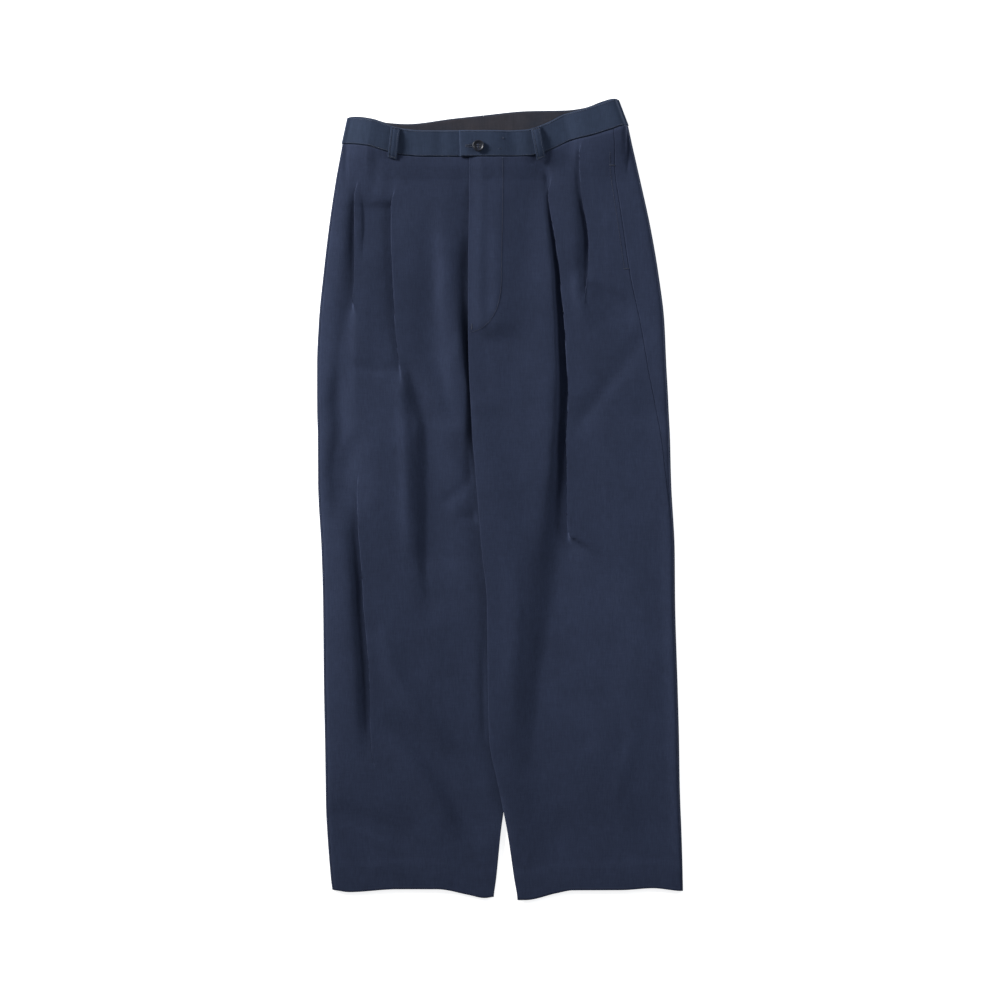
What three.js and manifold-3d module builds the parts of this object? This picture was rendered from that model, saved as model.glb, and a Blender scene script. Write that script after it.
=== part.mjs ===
// Pleated chinos laid flat on their back, front up, as a scene of named cloth walls and hard parts.
//
// Millimetres. +Z is up from the surface, +Y runs from the hems to the waist, +X is the wearer's left.
// Each piece of cloth is a closed wall between an outer and an inner grid of points. The grids are
// worked out from the cut (stations, seams, hems) and from the folds that lie in the cloth.

import * as THREE from 'three';
import { mergeGeometries, mergeVertices } from 'three/addons/utils/BufferGeometryUtils.js';
import Module from 'manifold-3d';

const wasm = await Module();
wasm.setup();

// ---- Driving dimensions ----

const WALL = 1.2; // one layer of cloth with its turned edges
const BAND_WALL = 2.4; // two layers over a stiffener
const GAP = 0.3; // between pieces that are sewn together
const BAND_HEIGHT = 36.5; // waistband, seam to top edge
const BAND_LEAN = 0.055; // the band's ends lean inwards: sideways shift of its top per mm from the middle
const BAND_MIDDLE = -75; // where the band stands straight
const LOOP_WALL = 1.2;
const LOOP_ARCH = 1.6; // room under a belt loop
const SEAM_ALLOWANCE = 14; // strip below the waist seam that is level with it
const ROW_TOP = 440; // rows of points run level from here down
const ROW_STEP = 32;
const ROW_COUNT = 31;
const CROTCH = 160;
const FLY_END = 215; // bottom of the fly
const LAYER = WALL + GAP;
const BACK_LIFT = LOOP_WALL + GAP; // the back's band clears the surface by a belt loop
const SIDE_ROUND = 18; // how quickly the front rises from an outer edge
const INSEAM_ROUND = 22; // and from an inner edge
const CENTRE_BACK = -20; // centre-back seam at the waist
const ZIP_TAPE = 0.9;
const ZIP_COIL = 1.7;
const SLIDER_PLATE = 1.2;
const FLAP_RISE = ZIP_COIL + SLIDER_PLATE + 3 * GAP; // the flap over the closed zip
const TAB_END = -55; // free end of the left band, over the fly
const UNDERLAP_END = -5; // free end of the right band, under it
const FACING = { start: -194, end: 146, wall: 0.8, low: 2, high: BAND_HEIGHT - 1.5 };
const LOOP_WIDTH = 12.5;
const LOOP_TAIL = 7; // below the waist seam
const POCKET = { top: 448, bottom: 318, reach: 24, wall: 0.9 };
const ZIP = { start: 9, end: 33, coil: 5, shoulder: 0.4, top: 462, bottom: 258 };
const SLIDER = { y: 446, length: 10, width: 8, tabLength: 22, tabWidth: 5, tab: 0.9 };
const BUTTON = { x: -30, y: 486, radius: 8, thick: 3, rim: 1.2, holes: 1.05, holeRing: 1.9, shank: 1.2 };
const BUTTON_LIFT = 0.8;
const BUTTONHOLE = { x: -36.5, length: 20, width: 2.9 };

// ---- How the layers ease over each other ----

const LEGS_FROM = 184; // below here the front is two legs with inner edges of their own
const LEGS_EASE = 70; // height over which the one becomes two
const BAND_EASE_FROM = 400; // from here up the front rises to its thicker band
const TAB_EASE = { rest: 2, run: 30 }; // the left band past the underlap: level run, then its way down
const LEG_OVER = { rest: 2, run: 22 }; // the left back past the tucked edge: level run, then its way down
const FLAP = { ramp: 12, flat: 36, fall: 22, ease: 30 }; // across from the flap's edge, and up from its end
const SEAM_OVER = { from: 120, rise: 32, reach: 24 }; // the left front's seam edge over the right one
const TUCK_MARGIN = 4; // the right front's loft ends this far inside the left one's edge
const BACK_SEAM_RUN = 355; // height over which the centre-back seam leans in, from the crotch up

// ---- The cut ----

// One row for each level of the laid trousers. right, left: outer edges. inner: the fly's edge, then the
// left leg's inner edge. tuck: how far the right leg's inner edge lies beyond it, under the left leg.
// over: how high the left leg's back lies over the right leg. loft: height of the front above the back.
const STATIONS = table(['y', 'right', 'left', 'inner', 'tuck', 'over', 'loft'], [
  [555, -205, 165, -43, 8, 0, 7],
  [515, -214, 176.5, -43, 8, 0, 7],
  [490, -217.4, 182, -43, 8, 0, 7],
  [440, -226.5, 193.5, -42, 8, 0, 8],
  [376, -236, 207.5, -43, 8, 0, 9],
  [312, -243.5, 218.5, -44, 8, 0, 9],
  [248, -249.8, 226.5, -44, 8, 0, 8.5],
  [184, -252.5, 229.5, -43, 6, 0, 8],
  [152, -252.5, 231.3, -41.6, -0.3, 0, 8],
  [120, -252.3, 232.8, -39.8, -0.3, 3, 7.5],
  [88, -251.4, 234.4, -38.2, 3, 3, 7.5],
  [24, -251.1, 236.1, -32.7, 13, 3, 7],
  [-72, -246.2, 241, -25, 23, 3, 6.5],
  [-136, -244.3, 241.5, -18.2, 26, 3, 6],
  [-264, -242.9, 245.2, -16.6, 26, 3, 5],
  [-328, -241.6, 246.9, -15, 23, 3, 4.5],
  [-392, -240.6, 247.9, -3, 10, 3, 4],
  [-424, -240.1, 248.9, 3.5, 2, 3, 3.5],
  [-456, -238.5, 250.2, 9.7, -8.3, 2.4, 3.2],
  [-520, -233.6, 252, 19, -24, 0, 2],
  [-555, -230, 252.5, 24, -33, 0, 0.6],
]);

const FRONT_SEAM = table(['x', 'y'], [
  [-217.4, 490],
  [-183.5, 486.5],
  [-160, 479.5],
  [-136, 473.5],
  [-104.9, 471.3],
  [11, 471.3],
  [42, 472.5],
  [72, 482],
  [98, 494],
  [127, 500.5],
  [152, 508],
  [177.6, 515],
]);

const BACK_SEAM = table(['x', 'y'], [
  [-217.4, 490],
  [-190, 486],
  [-160, 480.5],
  [-131, 479.5],
  [-65, 489],
  [-21, 493.5],
  [45, 499.5],
  [100, 499],
  [127, 501.5],
  [152, 508],
  [177.6, 515],
]);

const HEM_RIGHT = table(['x', 'y'], [
  [-233, -538],
  [-208, -541],
  [-142, -537],
  [-87, -537],
  [-43, -545],
  [-21, -549.2],
  [-8, -547.5],
]);

const HEM_LEFT = table(['x', 'y'], [
  [22, -552],
  [34.5, -552],
  [78.7, -542.3],
  [100.7, -538.5],
  [167, -538.2],
  [211, -535.6],
  [252, -539.5],
]);

// How far in from the outer edge the side seam shows on the front.
const SEAM_INSET = {
  left: table(['y', 'inset'], [
    [515, 22],
    [440, 34],
    [321, 40],
    [200, 28],
    [60, 10],
    [-60, 2.6],
    [-555, 2.6],
  ]),
  right: table(['y', 'inset'], [
    [515, 2.6],
    [-555, 2.6],
  ]),
};

// ---- The folds ----

// A fold runs down the leg: its place, its depth (below zero for a ridge) and how far it reaches,
// reachDown towards the wearer's right and reachUp towards the wearer's left.
const FOLD_COLUMNS = ['y', 'x', 'depth', 'reachDown', 'reachUp'];

const FOLDS = {
  left: {
    pleatFront: [
      [468, 61.6, 0, 4, 8],
      [433, 62.4, 6, 4, 9],
      [390, 67.6, 9, 4, 10],
      [320, 74.6, 10, 5, 10],
      [222, 82.8, 10, 6, 8],
      [120, 84.4, 10, 8, 6],
      [25, 82.8, 9, 12, 6],
      [-50, 71, 8, 16, 7],
      [-155, 56.6, 5, 18, 9],
      [-280, 38, 0, 20, 12],
    ],
    pleatSide: [
      [488, 106.3, 0, 4, 6],
      [455, 107, 4, 4, 6],
      [415, 109.5, 7, 5, 9],
      [356, 120, 8, 8, 6],
      [308, 119, 6, 8, 6],
      [285, 118, 0, 8, 6],
    ],
    dragLine: [
      [304, 112, 0, 9, 9],
      [286, 143.5, 1.8, 9, 9],
      [262, 174, 2.2, 9, 9],
      [236, 194, 2.2, 10, 10],
      [208, 179, 2.2, 10, 10],
      [161, 146, 2.4, 10, 10],
      [95, 98, 0, 10, 10],
    ],
  },
  right: {
    sideUpper: [
      [462, -205, 0, 8, 4],
      [419, -203.6, 6.5, 9, 4],
      [359, -203.6, 8, 9, 4],
      [301, -205, 7, 9, 5],
      [235, -221, 5, 9, 8],
      [143, -230, 6, 8, 7],
      [54, -230.5, 6, 8, 7],
      [-14, -222, 3, 8, 8],
      [-36, -213, 0, 8, 8],
    ],
    sideLower: [
      [3, -205.5, 0, 7, 6],
      [-30, -203, 5, 7, 6],
      [-83, -198.7, 6, 8, 7],
      [-210, -190.4, 5.5, 9, 7],
      [-340, -185, 3.5, 9, 8],
      [-385, -184, 0, 9, 8],
    ],
    pleatFront: [
      [468, -152.5, 0, 12, 3],
      [415, -154.6, 4, 14, 4],
      [331, -152.5, 6, 16, 4],
      [223, -149, 5, 14, 4],
      [179, -142, 3, 10, 6],
      [145, -136, 0, 8, 6],
    ],
    thighHollow: [
      [312, -112, 0, 16, 14],
      [276, -111, 3.5, 16, 14],
      [223, -108, 3.5, 14, 12],
      [157, -82, 2, 12, 12],
      [95, -70, 0, 12, 12],
    ],
    thighFold: [
      [205, -139, 0, 7, 8],
      [166, -128, 4, 7, 8],
      [120, -114, 6, 8, 8],
      [28, -110, 7, 8, 7],
      [-60, -109.5, 5, 8, 7],
      [-135, -107, 0, 8, 7],
    ],
    flySide: [
      [470, -62, 0, 14, 12],
      [420, -61, 3, 16, 8],
      [363, -55, 6, 12, 5],
      [317, -56, 7.5, 9, 5],
      [248, -55, 7.5, 8, 5],
      [186, -51, 6, 6, 5],
      [120, -48, 3, 6, 4],
      [60, -46, 0, 6, 4],
    ],
    kneeRidge: [
      [-180, -166, 0, 10, 10],
      [-210, -154.6, -2.2, 10, 12],
      [-264, -132.5, -2.6, 10, 14],
      [-310, -94, -2.2, 10, 14],
      [-345, -66, 0, 10, 14],
    ],
    shinFold: [
      [-322, -138, 0, 12, 10],
      [-353, -107.6, 2, 12, 10],
      [-396, -76, 2.6, 12, 10],
      [-450, -40, 2.2, 12, 12],
      [-486, -18, 0, 12, 12],
    ],
    ankleFold: [
      [-420, -246, 0, 9, 9],
      [-437, -212, 2, 9, 9],
      [-465, -154.6, 2.2, 9, 9],
      [-500, -124, 0, 9, 9],
    ],
  },
};

for (const leg of Object.values(FOLDS)) {
  for (const name of Object.keys(leg)) leg[name] = table(FOLD_COLUMNS, leg[name]);
}

// Lines that columns of points follow below the pleats, down to the hem.
const GUIDES = {
  left: {
    first: table(['y', 'x'], [
      [515, 61.6], [433, 62.4], [320, 74.6], [222, 82.8], [120, 84.4], [25, 82.8], [-50, 71],
      [-155, 58], [-280, 50], [-440, 74], [-555, 88],
    ]),
    second: table(['y', 'x'], [
      [515, 106], [415, 109.5], [356, 120], [285, 120], [100, 146], [-100, 150], [-555, 158],
    ]),
  },
  right: {
    side: table(['y', 'x'], [
      [515, -204], [301, -205], [235, -221], [143, -230], [54, -230.5], [-14, -219], [-83, -200],
      [-210, -190.4], [-340, -185], [-555, -180],
    ]),
    thigh: table(['y', 'x'], [
      [515, -153], [331, -152.5], [223, -149], [166, -129], [120, -114], [28, -110], [-60, -109.5],
      [-264, -126], [-555, -100],
    ]),
    fly: table(['y', 'x'], [
      [515, -62], [363, -55], [248, -55], [120, -52], [24, -46], [-136, -34], [-300, -32], [-424, -12],
      [-555, -30],
    ]),
  },
};

// ---- Small mathematics ----

function table(names, rows) {
  const sorted = [...rows].sort((a, b) => a[0] - b[0]);
  return { names, at: sorted.map((row) => row[0]), rows: sorted };
}

const mix = (a, b, t) => a + (b - a) * t;
const clamp01 = (t) => Math.min(1, Math.max(0, t));
const bell = (t) => Math.exp(-t * t);
const rise = (t) => (t <= 0 ? 0 : 1 - Math.exp(-t));

function smooth(t) {
  const c = clamp01(t);
  return c * c * (3 - 2 * c);
}

// Reads a column of a table between its rows, by a curve that never overshoots them.
function read(tab, name, position) {
  const { at, rows } = tab;
  const column = tab.names.indexOf(name);
  const last = at.length - 1;
  if (position <= at[0]) return rows[0][column];
  if (position >= at[last]) return rows[last][column];
  let k = 0;
  while (position > at[k + 1]) k++;
  const width = at[k + 1] - at[k];
  const t = (position - at[k]) / width;
  const a = rows[k][column];
  const b = rows[k + 1][column];
  const slopeA = knotSlope(tab, column, k) * width;
  const slopeB = knotSlope(tab, column, k + 1) * width;
  const s = 1 - t;
  return a * (1 + 2 * t) * s * s + slopeA * t * s * s + b * t * t * (3 - 2 * t) - slopeB * t * t * s;
}

function knotSlope({ at, rows }, column, k) {
  if (k === 0 || k === at.length - 1) return 0;
  const before = (rows[k][column] - rows[k - 1][column]) / (at[k] - at[k - 1]);
  const after = (rows[k + 1][column] - rows[k][column]) / (at[k + 1] - at[k]);
  if (before * after <= 0) return 0;
  return (2 * before * after) / (before + after);
}

// Places along a line through the given stops, with so many steps between each two.
function spread(stops, steps) {
  const places = [stops[0]];
  steps.forEach((count, s) => {
    for (let k = 1; k <= count; k++) places.push(mix(stops[s], stops[s + 1], k / count));
  });
  return places;
}

// ---- Heights ----

const station = (name, y) => read(STATIONS, name, y);

// How far a fold lowers the cloth at a point.
function foldDepth(fold, x, y) {
  const top = fold.at[fold.at.length - 1];
  if (y <= fold.at[0] || y >= top) return 0;
  const place = read(fold, 'x', y);
  const slope = read(fold, 'x', y + 1) - place;
  const away = (x - place) / Math.hypot(1, slope);
  const reach = read(fold, away < 0 ? 'reachDown' : 'reachUp', y);
  return read(fold, 'depth', y) * bell(away / reach);
}

// Where the right leg begins to slip under the left one, or ends where they part.
function tuckStart(y) {
  const inner = station('inner', y);
  return Math.min(inner - TUCK_MARGIN, inner + station('tuck', y));
}

// Height of the front above its resting place on the back.
function frontLoft(leg, x, y) {
  const legness = 1 - smooth((y - LEGS_FROM) / LEGS_EASE);
  const inner = station('inner', y);
  const outward = leg === 'left' ? station('left', y) - x : x - station('right', y);
  const inward = leg === 'left' ? x - inner : tuckStart(y) - x;
  const pillow = rise(outward / SIDE_ROUND) * mix(1, rise(inward / INSEAM_ROUND), legness);
  let height = station('loft', y) * pillow;
  for (const fold of Object.values(FOLDS[leg])) height -= foldDepth(fold, x, y);
  return Math.max(0, height);
}

// The backs rise at the waist seam, over the belt loops.
function waistLift(seam, x, y) {
  const edge = read(seam, 'y', x) - SEAM_ALLOWANCE;
  return BACK_LIFT * clamp01((y - ROW_TOP) / (edge - ROW_TOP));
}

// The front also rises at the waist, to the level of its thicker band.
function bandLift(x, y) {
  return (BAND_WALL - WALL) * clamp01((y - BAND_EASE_FROM) / (read(FRONT_SEAM, 'y', x) - BAND_EASE_FROM));
}

// The left back climbs over the right leg's tucked edge.
function legLift(x, y) {
  const edge = station('inner', y) + Math.max(0, station('tuck', y)) + LEG_OVER.rest;
  return station('over', y) * (1 - clamp01((x - edge) / LEG_OVER.run));
}

// The flap of the left front lies over the right front and the zip.
function flapLift(x, y) {
  const across = x - station('inner', y);
  const overZip = mix(LAYER, FLAP_RISE, clamp01(across / FLAP.ramp));
  const away = 1 - clamp01((across - FLAP.flat) / FLAP.fall);
  const fly = smooth((y - FLY_END) / FLAP.ease);
  const seamRise = clamp01((y - SEAM_OVER.from) / SEAM_OVER.rise);
  const seamOnly = LAYER * seamRise * (1 - clamp01(across / SEAM_OVER.reach));
  return Math.max(overZip * away * fly, seamOnly);
}

function frontUnderside(leg, x, y) {
  const base = LAYER + waistLift(FRONT_SEAM, x, y) + bandLift(x, y) + frontLoft(leg, x, y);
  return leg === 'left' ? base + legLift(x, y) + flapLift(x, y) : base;
}

// ---- Grids of points ----

// Levels of the rows at one place: the waist seam, its allowance, level rows, and the hem.
function rowLevel(row, x, seam, hem) {
  const edge = read(seam, 'y', x);
  if (row === 0) return edge;
  if (row === 1) return edge - SEAM_ALLOWANCE;
  if (row === 2) return mix(edge - SEAM_ALLOWANCE, ROW_TOP, 0.5);
  if (row < ROW_COUNT + 3) return ROW_TOP - ROW_STEP * (row - 3);
  return read(hem, 'y', x);
}

const ROWS = ROW_COUNT + 4;

// Settles the level and the place of one column in a row, which depend on each other.
function settle(row, places, column, seam, hem) {
  let y = row < 3 ? 480 : rowLevel(row, 0, seam, hem);
  let x = places(y)[column];
  for (let turn = 0; turn < 6; turn++) {
    y = rowLevel(row, x, seam, hem);
    x = places(y)[column];
  }
  return [x, y];
}

function makeGrid(rows, columns, point) {
  const grid = [];
  for (let r = 0; r < rows; r++) {
    const line = [];
    for (let c = 0; c < columns; c++) line.push(point(r, c));
    grid.push(line);
  }
  return grid;
}

// The grid moved out along its own normals, so that a wall keeps its thickness on a slope.
function movedOut(grid, distance) {
  const rows = grid.length;
  const columns = grid[0].length;
  return makeGrid(rows, columns, (r, c) => {
    const here = grid[r][c];
    const acrossA = grid[r][Math.max(0, c - 1)];
    const acrossB = grid[r][Math.min(columns - 1, c + 1)];
    const alongA = grid[Math.max(0, r - 1)][c];
    const alongB = grid[Math.min(rows - 1, r + 1)][c];
    const across = new THREE.Vector3(...acrossB).sub(new THREE.Vector3(...acrossA));
    const along = new THREE.Vector3(...alongB).sub(new THREE.Vector3(...alongA));
    const normal = across.cross(along).normalize();
    if (normal.z < 0) normal.negate();
    return [
      here[0] + normal.x * distance,
      here[1] + normal.y * distance,
      here[2] + normal.z * distance,
    ];
  });
}

// A closed wall between two grids of the same size.
function wall(outer, inner) {
  const rows = outer.length;
  const columns = outer[0].length;
  const layer = rows * columns;
  const positions = [...outer.flat(), ...inner.flat()].flat();
  const index = [];
  const id = (side, r, c) => side * layer + r * columns + c;
  const quad = (a, b, c, d) => index.push(a, b, c, a, c, d);
  for (let r = 0; r + 1 < rows; r++) {
    for (let c = 0; c + 1 < columns; c++) {
      quad(id(0, r, c), id(0, r, c + 1), id(0, r + 1, c + 1), id(0, r + 1, c));
      quad(id(1, r, c), id(1, r + 1, c), id(1, r + 1, c + 1), id(1, r, c + 1));
    }
    quad(id(0, r, 0), id(0, r + 1, 0), id(1, r + 1, 0), id(1, r, 0));
    const c = columns - 1;
    quad(id(0, r, c), id(1, r, c), id(1, r + 1, c), id(0, r + 1, c));
  }
  for (let c = 0; c + 1 < columns; c++) {
    quad(id(0, 0, c), id(1, 0, c), id(1, 0, c + 1), id(0, 0, c + 1));
    const r = rows - 1;
    quad(id(0, r, c), id(0, r, c + 1), id(1, r, c + 1), id(1, r, c));
  }
  return faceOut(positions, index);
}

function faceOut(positions, index) {
  let volume = 0;
  const corner = (k) => new THREE.Vector3(...positions.slice(3 * k, 3 * k + 3));
  for (let k = 0; k < index.length; k += 3) {
    const [a, b, c] = [0, 1, 2].map((step) => corner(index[k + step]));
    volume += a.dot(b.cross(c));
  }
  if (volume < 0) {
    for (let k = 0; k < index.length; k += 3) {
      [index[k + 1], index[k + 2]] = [index[k + 2], index[k + 1]];
    }
  }
  const geometry = new THREE.BufferGeometry();
  geometry.setAttribute('position', new THREE.Float32BufferAttribute(positions, 3));
  geometry.setIndex(index);
  return geometry;
}

// ---- Legs ----

const outerEdge = (leg, y) => station(leg, y);
const sideSign = (leg) => (leg === 'left' ? 1 : -1);
const hemOf = (leg) => (leg === 'left' ? HEM_LEFT : HEM_RIGHT);

function sideSeam(leg, y) {
  return outerEdge(leg, y) - sideSign(leg) * read(SEAM_INSET[leg], 'inset', y);
}

function frontInner(leg, y) {
  return station('inner', y) + (leg === 'left' ? 0 : station('tuck', y));
}

function backInner(leg, y) {
  if (y <= CROTCH) return frontInner(leg, y);
  const seam = mix(station('inner', CROTCH), CENTRE_BACK, smooth((y - CROTCH) / BACK_SEAM_RUN));
  return leg === 'left' ? seam : seam - GAP;
}

// Places across a front: close together where the deep folds lie.
function frontPlaces(leg, y) {
  const inner = station('inner', y);
  const seam = sideSeam(leg, y) - sideSign(leg) * GAP;
  if (leg === 'left') {
    const first = read(GUIDES.left.first, 'x', y);
    const second = read(GUIDES.left.second, 'x', y);
    const stops = [inner, inner + 12, inner + 36, first - 14, first - 5, first, first + 8];
    return spread([...stops, second - 7, second, second + 7, seam], [1, 2, 3, 1, 1, 1, 2, 1, 1, 4]);
  }
  const side = read(GUIDES.right.side, 'x', y);
  const thigh = read(GUIDES.right.thigh, 'x', y);
  const tucked = Math.min(tuckStart(y), frontInner(leg, y) - 2);
  const fly = Math.min(read(GUIDES.right.fly, 'x', y), tucked - 4);
  const stops = [seam, side - 8, side, side + 5, thigh - 12, thigh, thigh + 5, fly - 8, fly];
  return spread([...stops, tucked, frontInner(leg, y)], [1, 1, 1, 3, 1, 1, 3, 1, 1, 1]);
}

function frontGrid(leg) {
  const rows = Array.from({ length: ROWS }, (_, r) => frontRow(leg, r));
  return rows.map((row) => row.map(([x, y]) => [x, y, frontUnderside(leg, x, y)]));
}

function makeFront(leg) {
  const underside = frontGrid(leg);
  return wall(movedOut(underside, WALL), underside);
}

// Half-round places of a bend that joins a bottom run to a top run, as a share of its size.
const BEND = [45, 90, 135].map((degrees) => THREE.MathUtils.degToRad(degrees));

// Places across a back's bottom run, and across the part of it that lies on the front.
function backPlaces(leg, y) {
  const inner = backInner(leg, y);
  const edge = bendStart(leg, y);
  if (leg === 'right') return spread([inner, edge], [3]);
  const climb = Math.max(frontInner('right', y), inner) + 2;
  return spread([inner, climb, climb + 22, edge], [1, 1, 2]);
}

function sidePlaces(leg, y) {
  return spread([bendStart(leg, y), sideSeam(leg, y)], [leg === 'left' ? 4 : 1]);
}

const BEND_SIZE = WALL + GAP / 2;

function bendStart(leg, y) {
  return outerEdge(leg, y) - sideSign(leg) * BEND_SIZE;
}

// A row of points across a back or a front, each at its own level.
function settledRow(row, places, seam, hem) {
  return places(0).map((_, c) => settle(row, places, c, seam, hem));
}

const frontRow = (leg, row) => settledRow(row, (y) => frontPlaces(leg, y), FRONT_SEAM, hemOf(leg));
const backRow = (leg, row) => settledRow(row, (y) => backPlaces(leg, y), BACK_SEAM, hemOf(leg));
const sideRow = (leg, row) => settledRow(row, (y) => sidePlaces(leg, y), FRONT_SEAM, hemOf(leg));

// The bend of a wall round an outer edge, from the level of its bottom run to that of its top run.
function bendPoints([x, y], sign, low, thick, room) {
  const size = thick + GAP / 2;
  const outer = [];
  const inner = [];
  for (const angle of BEND) {
    const reach = Math.sin(angle) * size;
    const turn = (1 - Math.cos(angle)) / 2;
    outer.push([x + sign * reach, y, low + (2 * thick + room) * turn]);
    inner.push([x + sign * Math.max(0.1, reach - thick), y, low + thick + room * turn]);
  }
  return { outer, inner };
}

// A back lies on the surface, bends round the outer edge and ends at the side seam on the front.
function makeBack(leg) {
  const outer = [];
  const inner = [];
  const topUnder = [];
  for (let r = 0; r < ROWS; r++) {
    const bottom = backRow(leg, r).map(([x, y]) => {
      const climb = leg === 'left' ? legLift(x, y) : 0;
      return [x, y, waistLift(BACK_SEAM, x, y) + climb];
    });
    const side = sideRow(leg, r);
    const [edgeX, edgeY] = side[0];
    const low = waistLift(BACK_SEAM, edgeX, edgeY);
    const bend = bendPoints(side[0], sideSign(leg), low, WALL, GAP + bandLift(edgeX, edgeY));
    topUnder.push(
      side.map(([x, y], c) => {
        const loft = c === 0 ? 0 : frontLoft(leg, x, y);
        return [x, y, low + bandLift(x, y) + LAYER + loft];
      }),
    );
    outer.push([...bottom, ...bend.outer]);
    inner.push([...bottom.map(([x, y, z]) => [x, y, z + WALL]), ...bend.inner]);
  }
  const topOver = movedOut(topUnder, WALL);
  const join = (rows, ends) => rows.map((row, r) => [...row, ...ends[r]]);
  return wall(join(outer, topOver), join(inner, topUnder));
}

// ---- Waistband ----

const bandTopShift = (x) => -(x - BAND_MIDDLE) * BAND_LEAN;

// Height of the band's front run above the surface, at its underside.
function bandUnderside(leg, x) {
  const y = read(FRONT_SEAM, 'y', x) - 1;
  const pillow = rise((leg === 'left' ? station('left', y) - x : x - station('right', y)) / SIDE_ROUND);
  const base = BACK_LIFT + BAND_WALL + GAP + station('loft', y) * pillow;
  const pastUnderlap = smooth((x - UNDERLAP_END - TAB_EASE.rest) / TAB_EASE.run);
  const over = leg === 'left' ? (BAND_WALL + GAP) * (1 - pastUnderlap) : 0;
  return base + over;
}

// The band takes its lower edge from the top rows of the panels that it is sewn to.
function makeBand(leg) {
  const sign = sideSign(leg);
  const front = frontRow(leg, 0);
  const side = sideRow(leg, 0);
  const free = leg === 'left' ? TAB_END : UNDERLAP_END;
  const end = [free, read(FRONT_SEAM, 'y', free)];
  const run = leg === 'left' ? front : [...front].reverse();
  const frontRun = [end, ...run, ...[...side].reverse().slice(1)];
  const backRun = [...backRow(leg, 0)].reverse();
  const low = BACK_LIFT + BAND_WALL + GAP;
  const outer = [];
  const inner = [];
  for (const level of spread([GAP, BAND_HEIGHT], [3])) {
    const raised = ([x, y, z]) => [x + bandTopShift(x) * (level / BAND_HEIGHT), y + level, z];
    const edge = side[0][0];
    const under = frontRun.map(([x, y]) => [x, y, x === edge ? low : bandUnderside(leg, x)]);
    const over = under.map(([x, y, z]) => [x, y, z + BAND_WALL]);
    const bend = bendPoints(side[0], sign, BACK_LIFT, BAND_WALL, GAP);
    const back = (z) => backRun.map(([x, y]) => [x, y, z]);
    outer.push([...over, ...bend.outer.reverse(), ...back(BACK_LIFT)].map(raised));
    inner.push([...under, ...bend.inner.reverse(), ...back(BACK_LIFT + BAND_WALL)].map(raised));
  }
  return wall(outer, inner);
}


function makeFacing() {
  const places = spread([FACING.start, FACING.end], [18]);
  const levels = [FACING.low, FACING.high];
  const low = BACK_LIFT + BAND_WALL + GAP;
  const grid = (z) =>
    makeGrid(levels.length, places.length, (r, c) => {
      const x = places[c];
      const shift = bandTopShift(x) * (levels[r] / BAND_HEIGHT);
      return [x + shift, read(BACK_SEAM, 'y', x) + levels[r], z];
    });
  return wall(grid(low + FACING.wall), grid(low));
}

// ---- Belt loops ----

const FRONT_LOOPS = [
  { name: 'loop_front_left', leg: 'left', x: 55.5 },
  { name: 'loop_front_right', leg: 'right', x: -147.5 },
];
const BACK_LOOPS = [
  { name: 'loop_back_left', x: 130 },
  { name: 'loop_back_centre', x: CENTRE_BACK },
  { name: 'loop_back_right', x: -172 },
];

function makeFrontLoop({ leg, x }) {
  const length = BAND_HEIGHT + LOOP_TAIL - 1;
  const places = [-0.5, 0, 0.5].map((share) => x + share * LOOP_WIDTH);
  const shares = spread([0, 1], [8]);
  const under = makeGrid(shares.length, places.length, (r, c) => {
    const level = -LOOP_TAIL + shares[r] * length;
    const shift = bandTopShift(x) * (level / BAND_HEIGHT);
    const y = read(FRONT_SEAM, 'y', x) + level + (places[c] - x) * seamSlope(FRONT_SEAM, x);
    const arch = LOOP_ARCH * Math.sin(Math.PI * shares[r]) ** 0.6;
    return [places[c] + shift, y, bandUnderside(leg, places[c]) + BAND_WALL + 0.5 + arch];
  });
  return wall(movedOut(under, LOOP_WALL), under);
}

function seamSlope(seam, x) {
  return (read(seam, 'y', x + 5) - read(seam, 'y', x - 5)) / 10;
}

// A loop behind lies pressed flat between the band and the surface.
function makeBackLoop({ x }) {
  const levels = [-LOOP_TAIL, BAND_HEIGHT - 1];
  const places = [-0.5, 0.5].map((share) => x + share * LOOP_WIDTH);
  const grid = (z) =>
    makeGrid(levels.length, places.length, (r, c) => {
      const shift = bandTopShift(x) * (levels[r] / BAND_HEIGHT);
      return [places[c] + shift, read(BACK_SEAM, 'y', x) + levels[r], z];
    });
  return wall(grid(LOOP_WALL), grid(0));
}

// ---- Pocket facings ----


// The strip of cloth that shows in the open mouth of the left pocket follows the front's underside.
function makePocket(leg) {
  const sign = sideSign(leg);
  const rows = spread([POCKET.top, POCKET.bottom], [5]);
  const shares = leg === 'left' ? [-0.5, -0.17, 0.17, 0.5] : [0.15, 0.45, 0.75];
  const under = makeGrid(rows.length, shares.length, (r, c) => {
    const y = rows[r];
    const x = sideSeam(leg, y) - sign * shares[c] * POCKET.reach;
    if (leg === 'right') return [x, y, LAYER + waistLift(BACK_SEAM, x, y)];
    return [x, y, frontUnderside(leg, x, y) - POCKET.wall - GAP];
  });
  return wall(movedOut(under, POCKET.wall), under);
}

// ---- Fly ----


function zipPlace(offset, y) {
  const x = station('inner', y) + offset;
  const base = LAYER + waistLift(FRONT_SEAM, x, y) + bandLift(x, y);
  const height = station('loft', y) * rise((station('left', y) - x) / SIDE_ROUND);
  return [x, y, base + height];
}

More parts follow.
